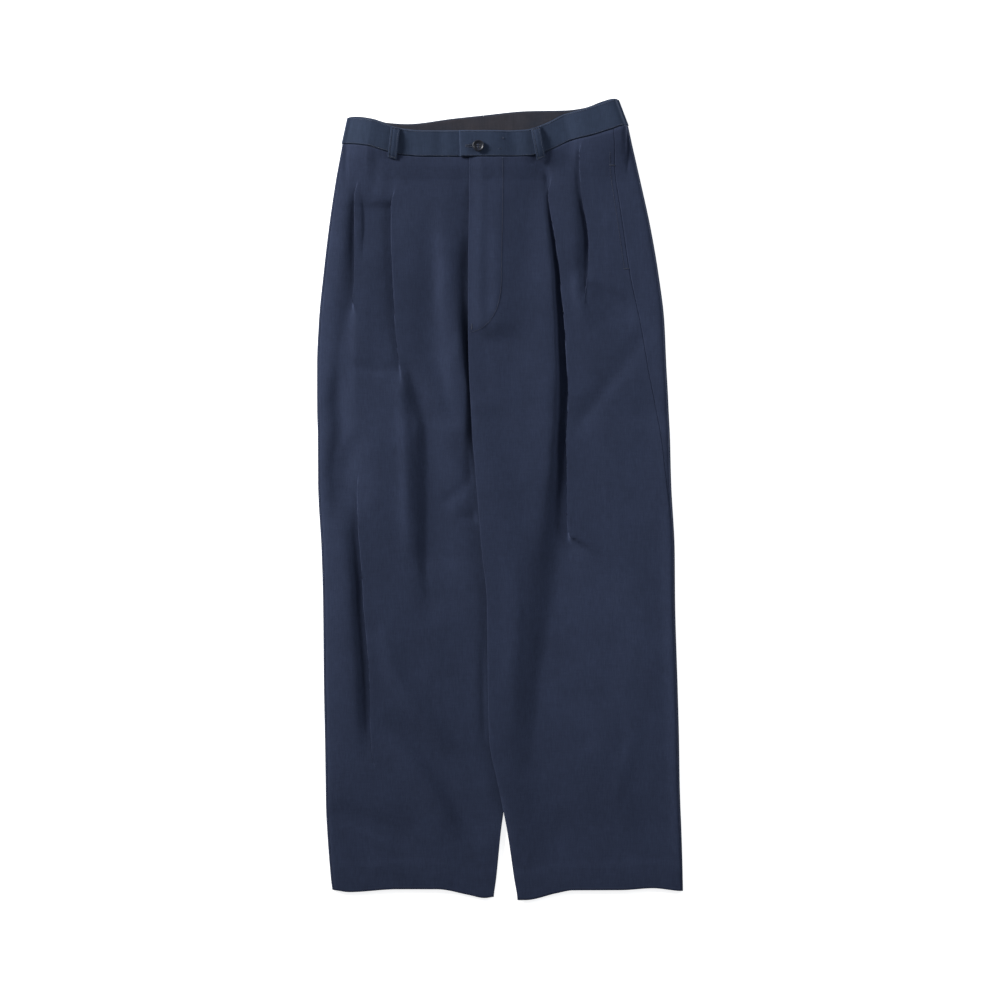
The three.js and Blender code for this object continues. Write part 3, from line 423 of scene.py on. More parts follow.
# Softer creases that cross the legs: x, y, depth (below zero for a ridge), reach on the right hand and on
# the left hand of someone who walks along the crease.
CREASES = {
    "right": {
        "hip_short": [
            (-190, 425, 0, 3, 16), (-188, 403, 1.6, 3, 22), (-187, 386, 2, 3, 24), (-187, 368, 1.8, 3, 24),
            (-188, 350, 1.2, 3, 20), (-188, 328, 0, 3, 14),
        ],
        "hip_slope": [
            (-174, 478, 0, 20, 10), (-174, 455, 1.6, 28, 12), (-178, 425, 1.2, 26, 10),
            (-182, 402, 0, 20, 10),
        ],
        "side_ridge": [
            (-196, 262, 0, 10, 12), (-198, 221, -1.2, 10, 16), (-198, 180, -1, 10, 16),
            (-200, 140, 0, 10, 14),
        ],
        "calf_lead": [
            (-198, 72, 0, 34, 16), (-198, 38, 1.6, 38, 24), (-198, 12, 2, 38, 20),
            (-197, -10, 1.2, 30, 10), (-196, -36, 0, 24, 6),
        ],
        "side_hollow": [
            (-182, 103, 0, 12, 12), (-199, 76, 1.2, 14, 14), (-214, 41, 1.6, 14, 14),
            (-213, 14, 1.2, 14, 14), (-199, -7, 0, 12, 12),
        ],
        "pleat_foot": [
            (-213, 190, 0, 7, 10), (-196, 182, 1, 6, 10), (-171, 178, 1.2, 6, 10), (-149, 178, 1, 6, 8),
            (-135, 171, 0, 7, 8),
        ],
        "thigh_hollow": [
            (-98, 405, 0, 24, 10), (-95, 360, 2.4, 28, 11), (-93, 320, 4, 30, 11), (-92, 270, 4.8, 32, 11),
            (-92, 215, 4.2, 26, 22), (-84, 180, 3.2, 20, 12), (-74, 138, 2, 15, 10), (-64, 96, 0, 12, 10),
        ],
        "thigh_ridge": [
            (-78, 392, 0, 11, 9), (-72, 345, -0.3, 14, 9), (-65, 306, -0.9, 14, 9),
            (-60, 268, -0.6, 13, 9), (-60, 232, 0, 12, 9),
        ],
        "crotch_hollow": [
            (-66, 97, 0, 11, 14), (-55, 72, 1.1, 12, 14), (-47, 48, 1.3, 12, 12), (-41, 22, 0, 11, 11),
        ],
        "crotch_pit": [
            (-61, -23, 0, 8, 9), (-47, -23, 1.4, 8, 9), (-34, -25, 1.6, 8, 8), (-22, -29, 0, 8, 8),
        ],
        "thigh_shoulder": [
            (-141, 177, 0, 8, 8), (-136, 144, -1.4, 8, 8), (-131, 97, -2.4, 8, 9), (-129, 41, -2.4, 8, 9),
            (-128, -28, -1.8, 8, 9), (-126, -90, 0, 8, 9),
        ],
        "knee_ridge": [
            (-166, -175, 0, 12, 14), (-155, -210, -2, 13, 14), (-133, -264, -2.6, 13, 14),
            (-94, -312, -2.4, 12, 14), (-66, -348, 0, 12, 14),
        ],
        "knee_hollow": [
            (-138, -155, 0, 19, 19), (-103, -193, 1, 25, 22), (-69, -232, 1.3, 25, 25),
            (-41, -262, 0.8, 22, 22), (-28, -297, 0, 19, 19),
        ],
        "shin_fold": [
            (-160, -296, 0, 12, 20), (-128, -322, 2.4, 14, 30), (-98, -356, 3.4, 15, 36),
            (-72, -388, 4.2, 16, 36), (-54, -418, 4, 16, 34), (-38, -446, 3.2, 14, 30),
            (-24, -480, 0, 12, 20),
        ],
        "shin_ridge": [
            (-170, -330, 0, 20, 12), (-140, -352, -1.6, 24, 12), (-112, -380, -2.6, 26, 12),
            (-90, -408, -3, 26, 12), (-74, -436, -2.6, 24, 12), (-58, -470, 0, 20, 12),
        ],
        "ankle_fold": [
            (-242, -424, 0, 9, 12), (-218, -435, 2.4, 9, 16), (-185, -448, 3.2, 9, 18),
            (-155, -462, 2.8, 9, 18), (-125, -480, 0, 10, 16),
        ],
        "ankle_ridge": [
            (-226, -483, 0, 14, 14), (-186, -497, -0.7, 14, 14), (-138, -508, -0.9, 14, 14),
            (-97, -519, -0.5, 14, 14), (-62, -530, 0, 14, 14),
        ],
        "inseam_hollow": [
            (-24, -190, 0, 10, 6), (-20, -235, 0.9, 8, 5), (-19, -300, 1, 8, 5), (-20, -345, 0, 8, 6),
        ],
        "crotch_fan": [(-33, 41, 0, 7, 7), (-52, 17, 0.9, 8, 8), (-72, 0, 0.8, 8, 8), (-91, -11, 0, 8, 8)],
    },
    "left": {
        "drag_upper": [
            (112, 296, 0, 12, 8), (132, 290, 2.4, 28, 9), (158, 276, 2.4, 26, 10), (184, 258, 1.4, 20, 10),
            (205, 245, 0, 14, 10),
        ],
        "drag_lower": [
            (212, 246, 0, 12, 10), (195, 222, 0.8, 14, 11), (160, 172, 1.3, 15, 12),
            (130, 134, 1.4, 14, 11), (112, 107, 0.9, 12, 10), (98, 80, 0, 10, 8),
        ],
        "fly_hollow": [
            (26, 430, 0, 18, 16), (30, 400, 0.5, 24, 16), (34, 350, 0.9, 26, 18), (34, 312, 0.5, 22, 16),
            (32, 285, 0, 18, 16),
        ],
        "between_pleats": [
            (98, 478, 0, 24, 6), (102, 458, 1.3, 28, 6), (105, 428, 1.3, 28, 6), (109, 402, 0, 24, 6),
        ],
        "side_slope": [
            (112, 318, 0, 8, 24), (109, 300, -2.4, 10, 34), (110, 280, -3, 12, 38),
            (118, 256, -1.8, 14, 34), (128, 238, 0, 12, 24),
        ],
        "fly_middle": [
            (-20, 440, 0, 9, 9), (-20, 380, 0.5, 10, 10), (-19, 320, 1.1, 10, 10), (-18, 270, 1, 10, 10),
            (-16, 230, 0, 9, 9),
        ],
        "calf_pit": [
            (102, -326, 0, 7, 7), (112, -333, 1.1, 7, 8), (121, -337, 0.8, 7, 8), (132, -342, 0, 7, 7),
        ],
        "hem_hollow": [
            (83, -435, 0, 19, 22), (117, -466, 1, 22, 25), (155, -491, 1, 22, 25), (193, -508, 0, 19, 22),
        ],
        "knee_slant": [
            (193, -124, 0, 17, 17), (166, -193, 0.7, 19, 19), (144, -262, 0.8, 19, 19),
            (127, -317, 0, 17, 17),
        ],
        "calf_ridge": [
            (166, -232, 0, 12, 12), (177, -276, -0.7, 12, 12), (182, -331, -0.8, 12, 12),
            (168, -386, -0.5, 12, 12), (152, -422, 0, 12, 12),
        ],
        "inner_ridge": [
            (22, -83, 0, 14, 11), (23, -152, -0.8, 14, 11), (19, -235, -0.9, 14, 11),
            (14, -331, 0, 14, 11),
        ],
        "outseam_ridge": [
            (222, 300, 0, 12, 4), (226, 184, -0.6, 14, 4), (231, 40, -0.8, 14, 4), (236, -60, -1.4, 12, 4),
            (237.5, -140, -2, 11, 4), (241, -264, -2.2, 10, 4), (244, -392, -2.2, 9, 4),
            (247, -480, -1.4, 9, 4), (248.5, -535, 0, 9, 4),
        ],
        "pleat_head": [
            (30, 477, 0, 4, 10), (45, 465, 1.6, 5, 13), (62, 452, 2.2, 5, 14), (65, 438, 1.4, 4, 11),
            (66, 424, 0, 4, 6),
        ],
    },
}

# Lines that the columns of each front follow.
GUIDES = {
    "left": {
        "first": Table(
            "y x",
            [
                (515, 58), (470, 62), (453, 65.5), (420, 66), (403, 66.5), (386, 70), (353, 74.5), (320, 79),
                (287, 82.5), (254, 86), (221, 87.5), (138, 91.5), (97, 89), (41, 89.5), (-28, 91), (-50, 88),
                (-83, 79), (-138, 75), (-193, 68), (-248, 60), (-317, 58), (-440, 70), (-555, 86),
            ],
        ),
        "second": Table(
            "y x",
            [
                (515, 107), (469, 108), (436, 110), (403, 113), (386, 116), (353, 119.5), (320, 117),
                (287, 118), (250, 126), (100, 146), (-100, 150), (-555, 158),
            ],
        ),
    },
    "right": {
        "side": Table(
            "y x",
            [
                (515, -196), (440, -200), (420, -201), (304, -202), (287, -204), (254, -208),
                (221, -212), (105, -212), (39, -208), (6, -202), (-30, -198), (-61, -195), (-83, -193),
                (-120, -191), (-144, -190), (-193, -185.5), (-265, -179), (-330, -176), (-555, -172),
            ],
        ),
        "thigh": Table(
            "y x",
            [
                (515, -150), (436, -148), (403, -151), (370, -151), (304, -148.5), (237, -146), (204, -142.5),
                (171, -132), (155, -122), (138, -114), (105, -104), (6, -100), (-77, -102), (-110, -98),
                (-180, -94), (-300, -100), (-555, -100),
            ],
        ),
        "fly": Table(
            "y x",
            [
                (515, -58), (390, -52), (186, -50), (138, -48), (24, -42), (-136, -34), (-300, -32),
                (-424, -12), (-555, -30),
            ],
        ),
    },
}

# How softly each leg's inner edge falls, and the share of its loft that stays at the edge.
INSEAM_ROUND = Table(
    "y right left right_stays left_stays",
    [
        (184, 8, 3, 0.85, 0.97), (60, 14, 2.4, 0.85, 0.97), (-20, 36, 2.4, 0.75, 0.97),
        (-90, 60, 2.4, 0.6, 0.97),
        (-170, 70, 2.4, 0.5, 0.97), (-330, 70, 2.6, 0.45, 0.95), (-390, 50, 3, 0.4, 0.8), (-430, 30, 5, 0, 0),
        (-555, 20, 8, 0, 0),
    ],
)

# The fly's curved stitching: how far it runs from the fly's edge.
FLY_STITCH = Table(
    "y offset",
    [(472, 46), (310, 46), (288, 45), (268, 41), (252, 34), (240, 24), (233, 12), (230, 3)],
)


# ---- Small mathematics ----


def mix(a, b, t):
    return a + (b - a) * t


def clamp01(t):
    return np.clip(t, 0.0, 1.0)


def smooth(t):
    c = clamp01(t)
    return c * c * (3 - 2 * c)


def rise(t):
    return 1 - np.exp(-np.maximum(t, 0.0))


def soft_floor(height, softness=0.8):
    """Keeps a height above zero, with a soft turn instead of a sharp one."""
    return 0.5 * (height + np.sqrt(height * height + softness * softness))


class Ripples:
    """A smooth uneven surface from a few crossing waves, always the same for the same seed."""

    def __init__(self, seed, across, along, count=18):
        rng = np.random.default_rng(seed)
        self.kx = 2 * math.pi / across * rng.normal(0, 1, count) * 0.6
        self.ky = 2 * math.pi / along * rng.normal(0, 1, count) * 0.6
        self.phase = rng.uniform(0, 2 * math.pi, count)

    def __call__(self, x, y):
        total = np.zeros(np.broadcast(x, y).shape)
        for kx, ky, phase in zip(self.kx, self.ky, self.phase):
            total = total + np.sin(kx * x + ky * y + phase)
        return total / math.sqrt(len(self.kx) / 2)


BROAD = Ripples(11, across=70, along=260)
FINE = Ripples(23, across=22, along=90)

# The same unevenness is read at another place for each panel, so that no two are alike.
PATTERN_SHIFT = {"left": 0.0, "right": 400.0, "back": 900.0}


class Crease:
    """A crease along a curve through a few points."""

    def __init__(self, points, steps=8):
        rows = np.array(points, float)
        padded = np.vstack([2 * rows[0] - rows[1], rows, 2 * rows[-1] - rows[-2]])
        line = []
        for a, b, c, d in zip(padded, padded[1:], padded[2:], padded[3:]):
            for t in np.arange(steps) / steps:
                square, cube = 2 * a - 5 * b + 4 * c - d, 3 * b - a - 3 * c + d
                line.append(0.5 * (2 * b + (c - a) * t + square * t**2 + cube * t**3))
        line.append(rows[-1])
        self.line = np.array(line)
        self.reach = 3 * rows[:, 3:].max()

    def fall(self, x, y):
        """How far the crease lowers the cloth."""
        px, py = self.line[:, 0], self.line[:, 1]
        near = (x > px.min() - self.reach) & (x < px.max() + self.reach)
        near &= (y > py.min() - self.reach) & (y < py.max() + self.reach)
        result = np.zeros(x.shape)
        if not near.any():
            return result
        qx, qy = x[near][:, None], y[near][:, None]
        dx, dy = np.diff(px)[None], np.diff(py)[None]
        t = clamp01(((qx - px[:-1]) * dx + (qy - py[:-1]) * dy) / (dx * dx + dy * dy))
        gap_x, gap_y = qx - px[:-1] - t * dx, qy - py[:-1] - t * dy
        best = np.argmin(gap_x**2 + gap_y**2, axis=1)
        pick = np.arange(len(best))
        t, gap_x, gap_y = t[pick, best], gap_x[pick, best], gap_y[pick, best]
        side = dx[0, best] * gap_y - dy[0, best] * gap_x
        row = mix(self.line[best], self.line[best + 1], t[:, None])
        reach = np.where(side < 0, row[:, 3], row[:, 4])
        result[near] = row[:, 2] * np.exp(-(gap_x**2 + gap_y**2) / reach**2)
        return result


SOFT_CREASES = {
    leg: [Crease(points) for points in creases.values()] for leg, creases in CREASES.items()
}


# ---- Heights of the cloth ----


def station(name, y):
    return STATIONS(name, y)


# Share of a fold's hang by which its valley lies under the lip, and how far the cloth is drawn to form it.
VALLEY_UNDER = 0.5
LIP_PULL = 1.22

# The cloth stands a little proud on both sides of a fold: by this share of its depth, so many reaches away.
SHOULDER = 0.03
SHOULDER_AT = 2.3


def fold_frame(fold, x, y):
    """Distance from a fold's valley, below zero towards the wearer's right, and where the fold runs."""
    place = fold("x", y) + VALLEY_UNDER * fold("hang", y)
    slope = fold("x", y + 1) - fold("x", y)
    inside = (y > fold.at[0]) & (y < fold.at[-1])
    return (x - place) / np.hypot(1, slope), inside


def fold_fall(fold, x, y):
    away, inside = fold_frame(fold, x, y)
    reach = np.where(away < 0, fold("down", y), fold("up", y))
    form = np.where(away < 0, fold("form", y), 2 + 2 * clamp01(fold("hang", y) / 3))
    valley = np.exp(-((np.abs(away) / reach) ** form))
    shoulder = SHOULDER * np.exp(-(((np.abs(away) - SHOULDER_AT * reach) / reach) ** 2))
    return np.where(inside, fold("depth", y) * (valley - shoulder), 0.0)


def fold_hang(fold, x, y):
    """How far the cloth at the wearer's left of a fold hangs over it."""
    away, inside = fold_frame(fold, x, y)
    up = fold("up", y)
    near = np.exp(-(((away - 2 * up) / up) ** 2))
    return np.where(inside, -LIP_PULL * fold("hang", y) * near, 0.0)


def tuck_start(y):
    inner = station("inner", y)
    return np.minimum(inner - 1, inner + station("tuck", y))


def front_loft(leg, x, y):
    legness = 1 - smooth((y - 184) / 70)
    inner = station("inner", y)
    outward = station("left", y) - x if leg == "left" else x - station("right", y)
    inward = x - inner if leg == "left" else tuck_start(y) - x
    inner_share = mix(INSEAM_ROUND(leg + "_stays", y), 1, rise(inward / INSEAM_ROUND(leg, y)))
    edge = rise(outward / SIDE_ROUND[leg]) * mix(1, inner_share, legness)
    height = station("loft", y) * edge + waist_change(leg, x, y)
    for fold in FOLDS[leg].values():
        height = height - fold_fall(fold, x, y)
    for crease in SOFT_CREASES[leg]:
        height = height - crease.fall(x, y) * clamp01(inward / 6) * clamp01(outward / 2)
    body = clamp01(outward / 30) * mix(1, clamp01(inward / 30), legness)
    uneven_x = x + PATTERN_SHIFT[leg]
    height = height + body * (0.3 * BROAD(uneven_x, y) + 0.06 * FINE(uneven_x, y))
    return soft_floor(height)


def waist_change(leg, x, y):
    """What the waist's own shape adds to the front below the band."""
    seam = FRONT_SEAM("y", x)
    outward = station("left", seam) - x if leg == "left" else x - station("right", seam)
    plain = station("loft", seam) * rise(outward / SIDE_ROUND[leg])
    return (WAIST_SHAPE("height", x) - plain) * smooth((y - seam + 75) / 75)


def waist_lift(seam, x, y):
    edge = seam("y", x) - SEAM_ALLOWANCE
    return BACK_LIFT * clamp01((y - ROW_TOP) / (edge - ROW_TOP))


def band_lift(x, y):
    """What brings the front's upper edge up to the outside of the band."""
    return (2 * (BAND_WALL - WALL) - BAND_STEP("step", x)) * clamp01((y - 400) / (FRONT_SEAM("y", x) - 400))


def leg_lift(x, y):
    edge = station("inner", y) + np.maximum(0, station("tuck", y)) + 2
    return station("over", y) * (1 - smooth((x - edge) / LAP_RUN))


def flap_lift(x, y):
    across = x - station("inner", y)
    over_zip = mix(LAYER, FLAP_RISE, smooth(across / FLAP_RISE_RUN))
    away = 1 - smooth((across - FLAP_FLAT_END) / FLAP_FALL_RUN)
    fly = smooth((y - FLY_END) / FLAP_END_RUN)
    seam_only = LAYER * clamp01((y - SEAM_LAP_START) / SEAM_LAP_RUN) * (1 - clamp01(across / SEAM_LAP_WIDTH))
    return np.maximum(over_zip * away * fly, seam_only)


def fly_layers(x, y):
    """The step where the fly's facing ends, under the curved stitching."""
    across = x - station("inner", y)
    step = FLY_STEP * smooth((FLY_STITCH("offset", y) - across) / 3.6 + 0.5)
    return step * clamp01((y - FLY_STEP_START) / 8) * (1 - smooth((y - FLY_STEP_END) / 40))


def hem_layers(leg, x, y):
    """The step at the top of the turned-up hem."""
    return HEM_STEP * smooth((HEMS[leg]("y", x) + HEM_TURN - y) / 1.6 + 0.5)


def front_under(leg, x, y):
    height = LAYER + waist_lift(FRONT_SEAM, x, y) + band_lift(x, y) + front_loft(leg, x, y)
    if leg == "left":
        height = height + leg_lift(x, y) + flap_lift(x, y)
    return height


def front_top(leg, x, y):
    top = front_under(leg, x, y) + WALL + hem_layers(leg, x, y)
    if leg == "left":
        top = top + fly_layers(x, y)
    away = FRONT_SEAM("y", x) - y
    return top - SEAM_DIP * np.exp(-((away / SEAM_DIP_WIDTH) ** 2))


# ---- Grids of points ----

TOP_SHARES = np.linspace(0, 1, 15)[:-1]
LEVELS = np.arange(ROW_TOP, -517, -4.0)
HEM_SHARES = np.linspace(0, 1, 8)[1:]


def row_levels(x, seam, hem):
    """Level of each point, rows from the waist seam down to the hem."""
    top = mix(seam("y", x[: len(TOP_SHARES)]), ROW_TOP, TOP_SHARES[:, None])
    middle = np.repeat(LEVELS[:, None], x.shape[1], axis=1)
    bottom = mix(LEVELS[-1], hem("y", x[-len(HEM_SHARES) :]), HEM_SHARES[:, None])
    return np.vstack([top, middle, bottom])


ROWS = len(TOP_SHARES) + len(LEVELS) + len(HEM_SHARES)


def spread(stops, steps, shape):
    """Places across a row through the given stops, with so many steps between each two."""
    stack = np.stack([np.broadcast_to(stop, shape) for stop in stops])
    between = np.append(np.repeat(np.arange(len(steps)), steps), len(steps) - 1)
    share = np.append(np.concatenate([np.arange(n) / n for n in steps]), 1.0)
    column = np.arange(shape[1])
    low = stack[between, :, column].T
    high = stack[between + 1, :, column].T
    return low + (high - low) * share


def settle(places, columns, seam, hem):
    """x and y of a grid whose levels and places depend on each other."""
    x = np.zeros((ROWS, columns))
    for _ in range(8):
        y = row_levels(x, seam, hem)
        x = places(y)
    return x, y


def outer_sign(leg):
    return 1 if leg == "left" else -1


def side_seam(leg, y):
    return station(leg, y) - outer_sign(leg) * SEAM_INSETS[leg]("inset", y)


def front_inner(leg, y):
    return station("inner", y) + (0 if leg == "left" else station("tuck", y))


def tucked_edge(leg, y):
    """The right front's inner edge, with the seam allowance that runs under the left front."""
    allowance = 0.0 if leg == "left" else 5.0 * np.exp(-(((y - 130) / 34) ** 2))
    return front_inner(leg, y) + allowance


def back_inner(leg, y):
    seam = mix(station("inner", CROTCH), CENTRE_BACK, smooth((y - CROTCH) / 355))
    upper = seam if leg == "left" else seam - GAP
    return np.where(y <= CROTCH, front_inner(leg, y), upper)


FRONT_STEPS = {
    "left": [4, 4, 9, 4, 12, 9, 4, 14, 14, 6, 8, 30, 17, 8],
    "right": [10, 8, 28, 14, 6, 6, 18, 16, 7, 5, 6],
}


def front_places(leg, y):
    inner = station("inner", y)
    seam = side_seam(leg, y) - outer_sign(leg) * GAP
    guides = GUIDES[leg]
    if leg == "left":
        first, second = guides["first"]("x", y), guides["second"]("x", y)
        stops = [inner, inner + 3, inner + 12, inner + 36, inner + 46]
        stops += [first - 14, first - 4, first, first + 7, first + 14]
        stops += [second - 8, second, second + 15, seam - 10, seam]
    else:
        side, thigh = guides["side"]("x", y), guides["thigh"]("x", y)
        tucked = np.minimum(tuck_start(y), tucked_edge(leg, y) - 2)
        fly = np.minimum(guides["fly"]("x", y), tucked - 4)
        stops = [seam, side - 8, side, side + 14, thigh - 14, thigh - 5, thigh, thigh + 9]
        stops += [fly - 9, fly, tucked, tucked_edge(leg, y)]
    return spread(stops, FRONT_STEPS[leg], y.shape)


def front_grid(leg):
    columns = sum(FRONT_STEPS[leg]) + 1
    x, y = settle(lambda level: front_places(leg, level), columns, FRONT_SEAM, HEMS[leg])
    z = front_top(leg, x, y)
    for fold in FOLDS[leg].values():
        x = x + fold_hang(fold, x, y)
    return np.dstack([x, y, z])


def bend_start(leg, y):
    return station(leg, y) - outer_sign(leg) * EDGE_SIZE


def back_places(leg, y):
    inner, edge = back_inner(leg, y), bend_start(leg, y)
    if leg == "right":
        return spread([inner, edge], [40], y.shape)
    climb = np.maximum(front_inner("right", y), inner) + 2
    return spread([inner, climb, climb + 22, edge], [8, 8, 30], y.shape)


# ---- Meshes ----


def normals_of(grid):
    """Unit normals of a grid of points, turned up."""
    along = np.gradient(grid, axis=0)
    across = np.gradient(grid, axis=1)
    normal = np.cross(across, along)
    normal /= np.maximum(np.linalg.norm(normal, axis=2, keepdims=True), 1e-9)
    return normal * np.where(normal[..., 2:] < 0, -1, 1)


def edge_ring(grid):
    """Indices of the points round a grid, and of the neighbours just inside them."""
    rows, cols = grid.shape[:2]
    ring = [(0, c) for c in range(cols)]
    ring += [(r, cols - 1) for r in range(1, rows)]
    ring += [(rows - 1, c) for c in range(cols - 2, -1, -1)]
    ring += [(r, 0) for r in range(rows - 2, 0, -1)]
    ring = np.array(ring)
    inside = np.clip(ring, 1, [rows - 2, cols - 2])
    return ring, inside


def shell(name, outer, inner, material, rim=3, soft=0.35):
    """A closed piece of cloth between two grids, with a rounded edge all round."""
    rows, cols = outer.shape[:2]
    ring, inside = edge_ring(outer)
    rim_outer, rim_inner = outer[tuple(ring.T)], inner[tuple(ring.T)]
    away = (rim_outer + rim_inner) - (outer[tuple(inside.T)] + inner[tuple(inside.T)])
    away /= np.maximum(np.linalg.norm(away, axis=1, keepdims=True), 1e-9)
    half = (rim_outer - rim_inner) / 2
    size = np.minimum(np.linalg.norm(half, axis=1, keepdims=True), soft)
    middle = (rim_outer + rim_inner) / 2 - away * size
    layers = []
    for k in range(1, rim + 1):
        angle = math.pi * (0.5 - k / (rim + 1))
        layers.append(middle + away * size * math.cos(angle) + half * math.sin(angle))
    outer, inner = outer.copy(), inner.copy()
    outer[tuple(ring.T)] -= away * size
    inner[tuple(ring.T)] -= away * size
    points = np.vstack([outer.reshape(-1, 3), inner.reshape(-1, 3), *layers])
    index = np.arange(rows * cols).reshape(rows, cols)
    a, b, c, d = index[:-1, :-1], index[:-1, 1:], index[1:, 1:], index[1:, :-1]
    top = np.stack([a, b, c, d], axis=-1).reshape(-1, 4)
    bottom = top[:, ::-1] + rows * cols
    flat = index[tuple(ring.T)]
    bands = [flat]
    start = 2 * rows * cols
    for k in range(rim):
        bands.append(start + k * len(ring) + np.arange(len(ring)))
    bands.append(flat + rows * cols)
    sides = []
    for high, low in zip(bands, bands[1:]):
        sides.append(np.stack([high, low, np.roll(low, -1), np.roll(high, -1)], axis=1))
    faces = np.vstack([top, bottom, *sides])
    return piece(name, points, faces, material)


def piece(name, points, faces, material, smooth_shading=True):
    """A mesh object from points in millimetres in the garment's frame."""
    points = np.asarray(points, float) * MM + ORIGIN
    faces = [list(map(int, face)) for face in faces]
    if signed_volume(points, faces) < 0:
        faces = [face[::-1] for face in faces]
    mesh = bpy.data.meshes.new(name)
    mesh.from_pydata(points.tolist(), [], faces)
    mesh.polygons.foreach_set("use_smooth", [smooth_shading] * len(mesh.polygons))
    mesh.materials.append(material)
    mesh.update()
    made = bpy.data.objects.new(name, mesh)
    bpy.context.scene.collection.objects.link(made)
    return made


def signed_volume(points, faces):
    fans = np.array([(f[0], f[k], f[k + 1]) for f in faces for k in range(1, len(f) - 1)])
    a, b, c = points[fans[:, 0]], points[fans[:, 1]], points[fans[:, 2]]
    return float((a * np.cross(b, c)).sum())


def settle_on_body(made, nodes=()):
    """The piece rides on the garment and stands for its solids, which it hides."""
    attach(made, "root")
    if nodes:
        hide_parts(*nodes)
    return made


# ---- Materials ----


def new_material(name, colour, roughness, **sockets):
    material = bpy.data.materials.new(name)
    material.use_nodes = True
    shader = material.node_tree.nodes["Principled BSDF"]
    shader.inputs["Base Color"].default_value = (*colour, 1)
    shader.inputs["Roughness"].default_value = roughness
    for socket, value in sockets.items():
        shader.inputs[socket.replace("_", " ")].default_value = value
    return material, material.node_tree, shader


def add_node(tree, kind, **settings):
    made = tree.nodes.new(kind)
    for name, value in settings.items():
        if hasattr(made, name):
            setattr(made, name, value)
        else:
            made.inputs[name.replace("_", " ")].default_value = value
    return made


def placed(tree, size, turn=0.0, stretch=(1, 1, 1)):
    """Object coordinates in units of the given size in millimetres, turned about Z."""
    where = add_node(tree, "ShaderNodeTexCoord")
    scale = tuple(1000.0 / (size * s) for s in stretch)
    mapping = add_node(tree, "ShaderNodeMapping", Scale=scale, Rotation=(0, 0, turn))
    tree.links.new(where.outputs["Object"], mapping.inputs["Vector"])
    return mapping.outputs["Vector"]


def noise(tree, size, detail=2.0, stretch=(1, 1, 1), turn=0.0):
    made = add_node(tree, "ShaderNodeTexNoise", Scale=1.0, Detail=detail, Roughness=0.55)
    tree.links.new(placed(tree, size, turn, stretch), made.inputs["Vector"])
    return made.outputs["Fac"]


def wave(tree, period, turn, wobble=0.4):
    """Ribs of thread, one every so many millimetres."""
    made = add_node(tree, "ShaderNodeTexWave", Scale=2 * math.pi / 20, Distortion=wobble, Detail=1.0)
    made.inputs["Detail Scale"].default_value = 0.6
    tree.links.new(placed(tree, period, turn), made.inputs["Vector"])
    return made.outputs["Fac"]


def join(tree, operation, a, b):
    made = add_node(tree, "ShaderNodeMath", operation=operation)
    for socket, value in zip(made.inputs, (a, b)):
        if isinstance(value, (int, float)):
            socket.default_value = value
        else:
            tree.links.new(value, socket)
    return made.outputs[0]


def tint(tree, factor, low, high, below=0.3, above=0.7):
    """Goes from one colour to another as the factor goes from below to above."""
    ramp = add_node(tree, "ShaderNodeValToRGB")
    ramp.color_ramp.elements[0].position = below
    ramp.color_ramp.elements[1].position = above
    ramp.color_ramp.elements[0].color = (*low, 1)
    ramp.color_ramp.elements[1].color = (*high, 1)
    tree.links.new(factor, ramp.inputs["Fac"])
    return ramp.outputs["Color"]


def multiply(tree, a, b, amount=1.0):
    made = add_node(tree, "ShaderNodeMix", data_type="RGBA", blend_type="MULTIPLY")
    made.inputs[0].default_value = amount
    tree.links.new(a, made.inputs[6])
    tree.links.new(b, made.inputs[7])
    return made.outputs[2]


def add_bump(tree, shader, height, strength, distance):
    """Makes a surface uneven by a height, over a distance in millimetres."""
    bump = add_node(tree, "ShaderNodeBump", Strength=strength, Distance=distance * MM)
    tree.links.new(height, bump.inputs["Height"])
    tree.links.new(bump.outputs["Normal"], shader.inputs["Normal"])


def grey(value):
    return (value, value, value)


def shade(colour, by):
    return tuple(c * by for c in colour)


def woven(name, colour, period, ribs_turn=1.1, sheen=0.1, depth=0.14, warm=None, mottle=0.06):
    """Fine twill: slanting ribs, single threads, slubs, soft mottling and a little fuzz."""
    material, tree, shader = new_material(
        name, colour, 0.86, Sheen_Weight=sheen, Sheen_Roughness=0.45, Specular_IOR_Level=0.12
    )
    shader.inputs["Sheen Tint"].default_value = (0.55, 0.62, 0.85, 1)
    ribs = wave(tree, period, ribs_turn)
    threads = wave(tree, period * 0.62, 0.0, 0.7)
    slubs = noise(tree, 0.9, 3.0, stretch=(1, 16, 1))
    picks = noise(tree, 1.1, 3.0, stretch=(18, 1, 1))
    fuzz = noise(tree, 0.35, 4.0)
    mottling = noise(tree, 55, 3.0)
    wear = noise(tree, 7, 4.0)
    other = warm or colour
    ground = tint(tree, mottling, shade(colour, 1 - mottle), shade(other, 1 + mottle), 0.32, 0.68)
    for layer, dark, light, below, above in (
        (slubs, 0.88, 1.12, 0.3, 0.7),
        (picks, 0.94, 1.06, 0.3, 0.7),
        (ribs, 0.86, 1.10, 0.1, 0.9),
        (wear, 0.97, 1.03, 0.35, 0.65),
    ):
        ground = multiply(tree, ground, tint(tree, layer, grey(dark), grey(light), below, above))
    tree.links.new(ground, shader.inputs["Base Color"])
    rough = tint(tree, fuzz, grey(0.80), grey(0.93), 0.3, 0.7)
    tree.links.new(rough, shader.inputs["Roughness"])
    height = join(tree, "MULTIPLY", ribs, 0.6)
    for layer, share in ((threads, 0.3), (slubs, 0.5), (fuzz, 0.35)):
        height = join(tree, "ADD", height, join(tree, "MULTIPLY", layer, share))
    add_bump(tree, shader, height, 0.5, depth)
    return material


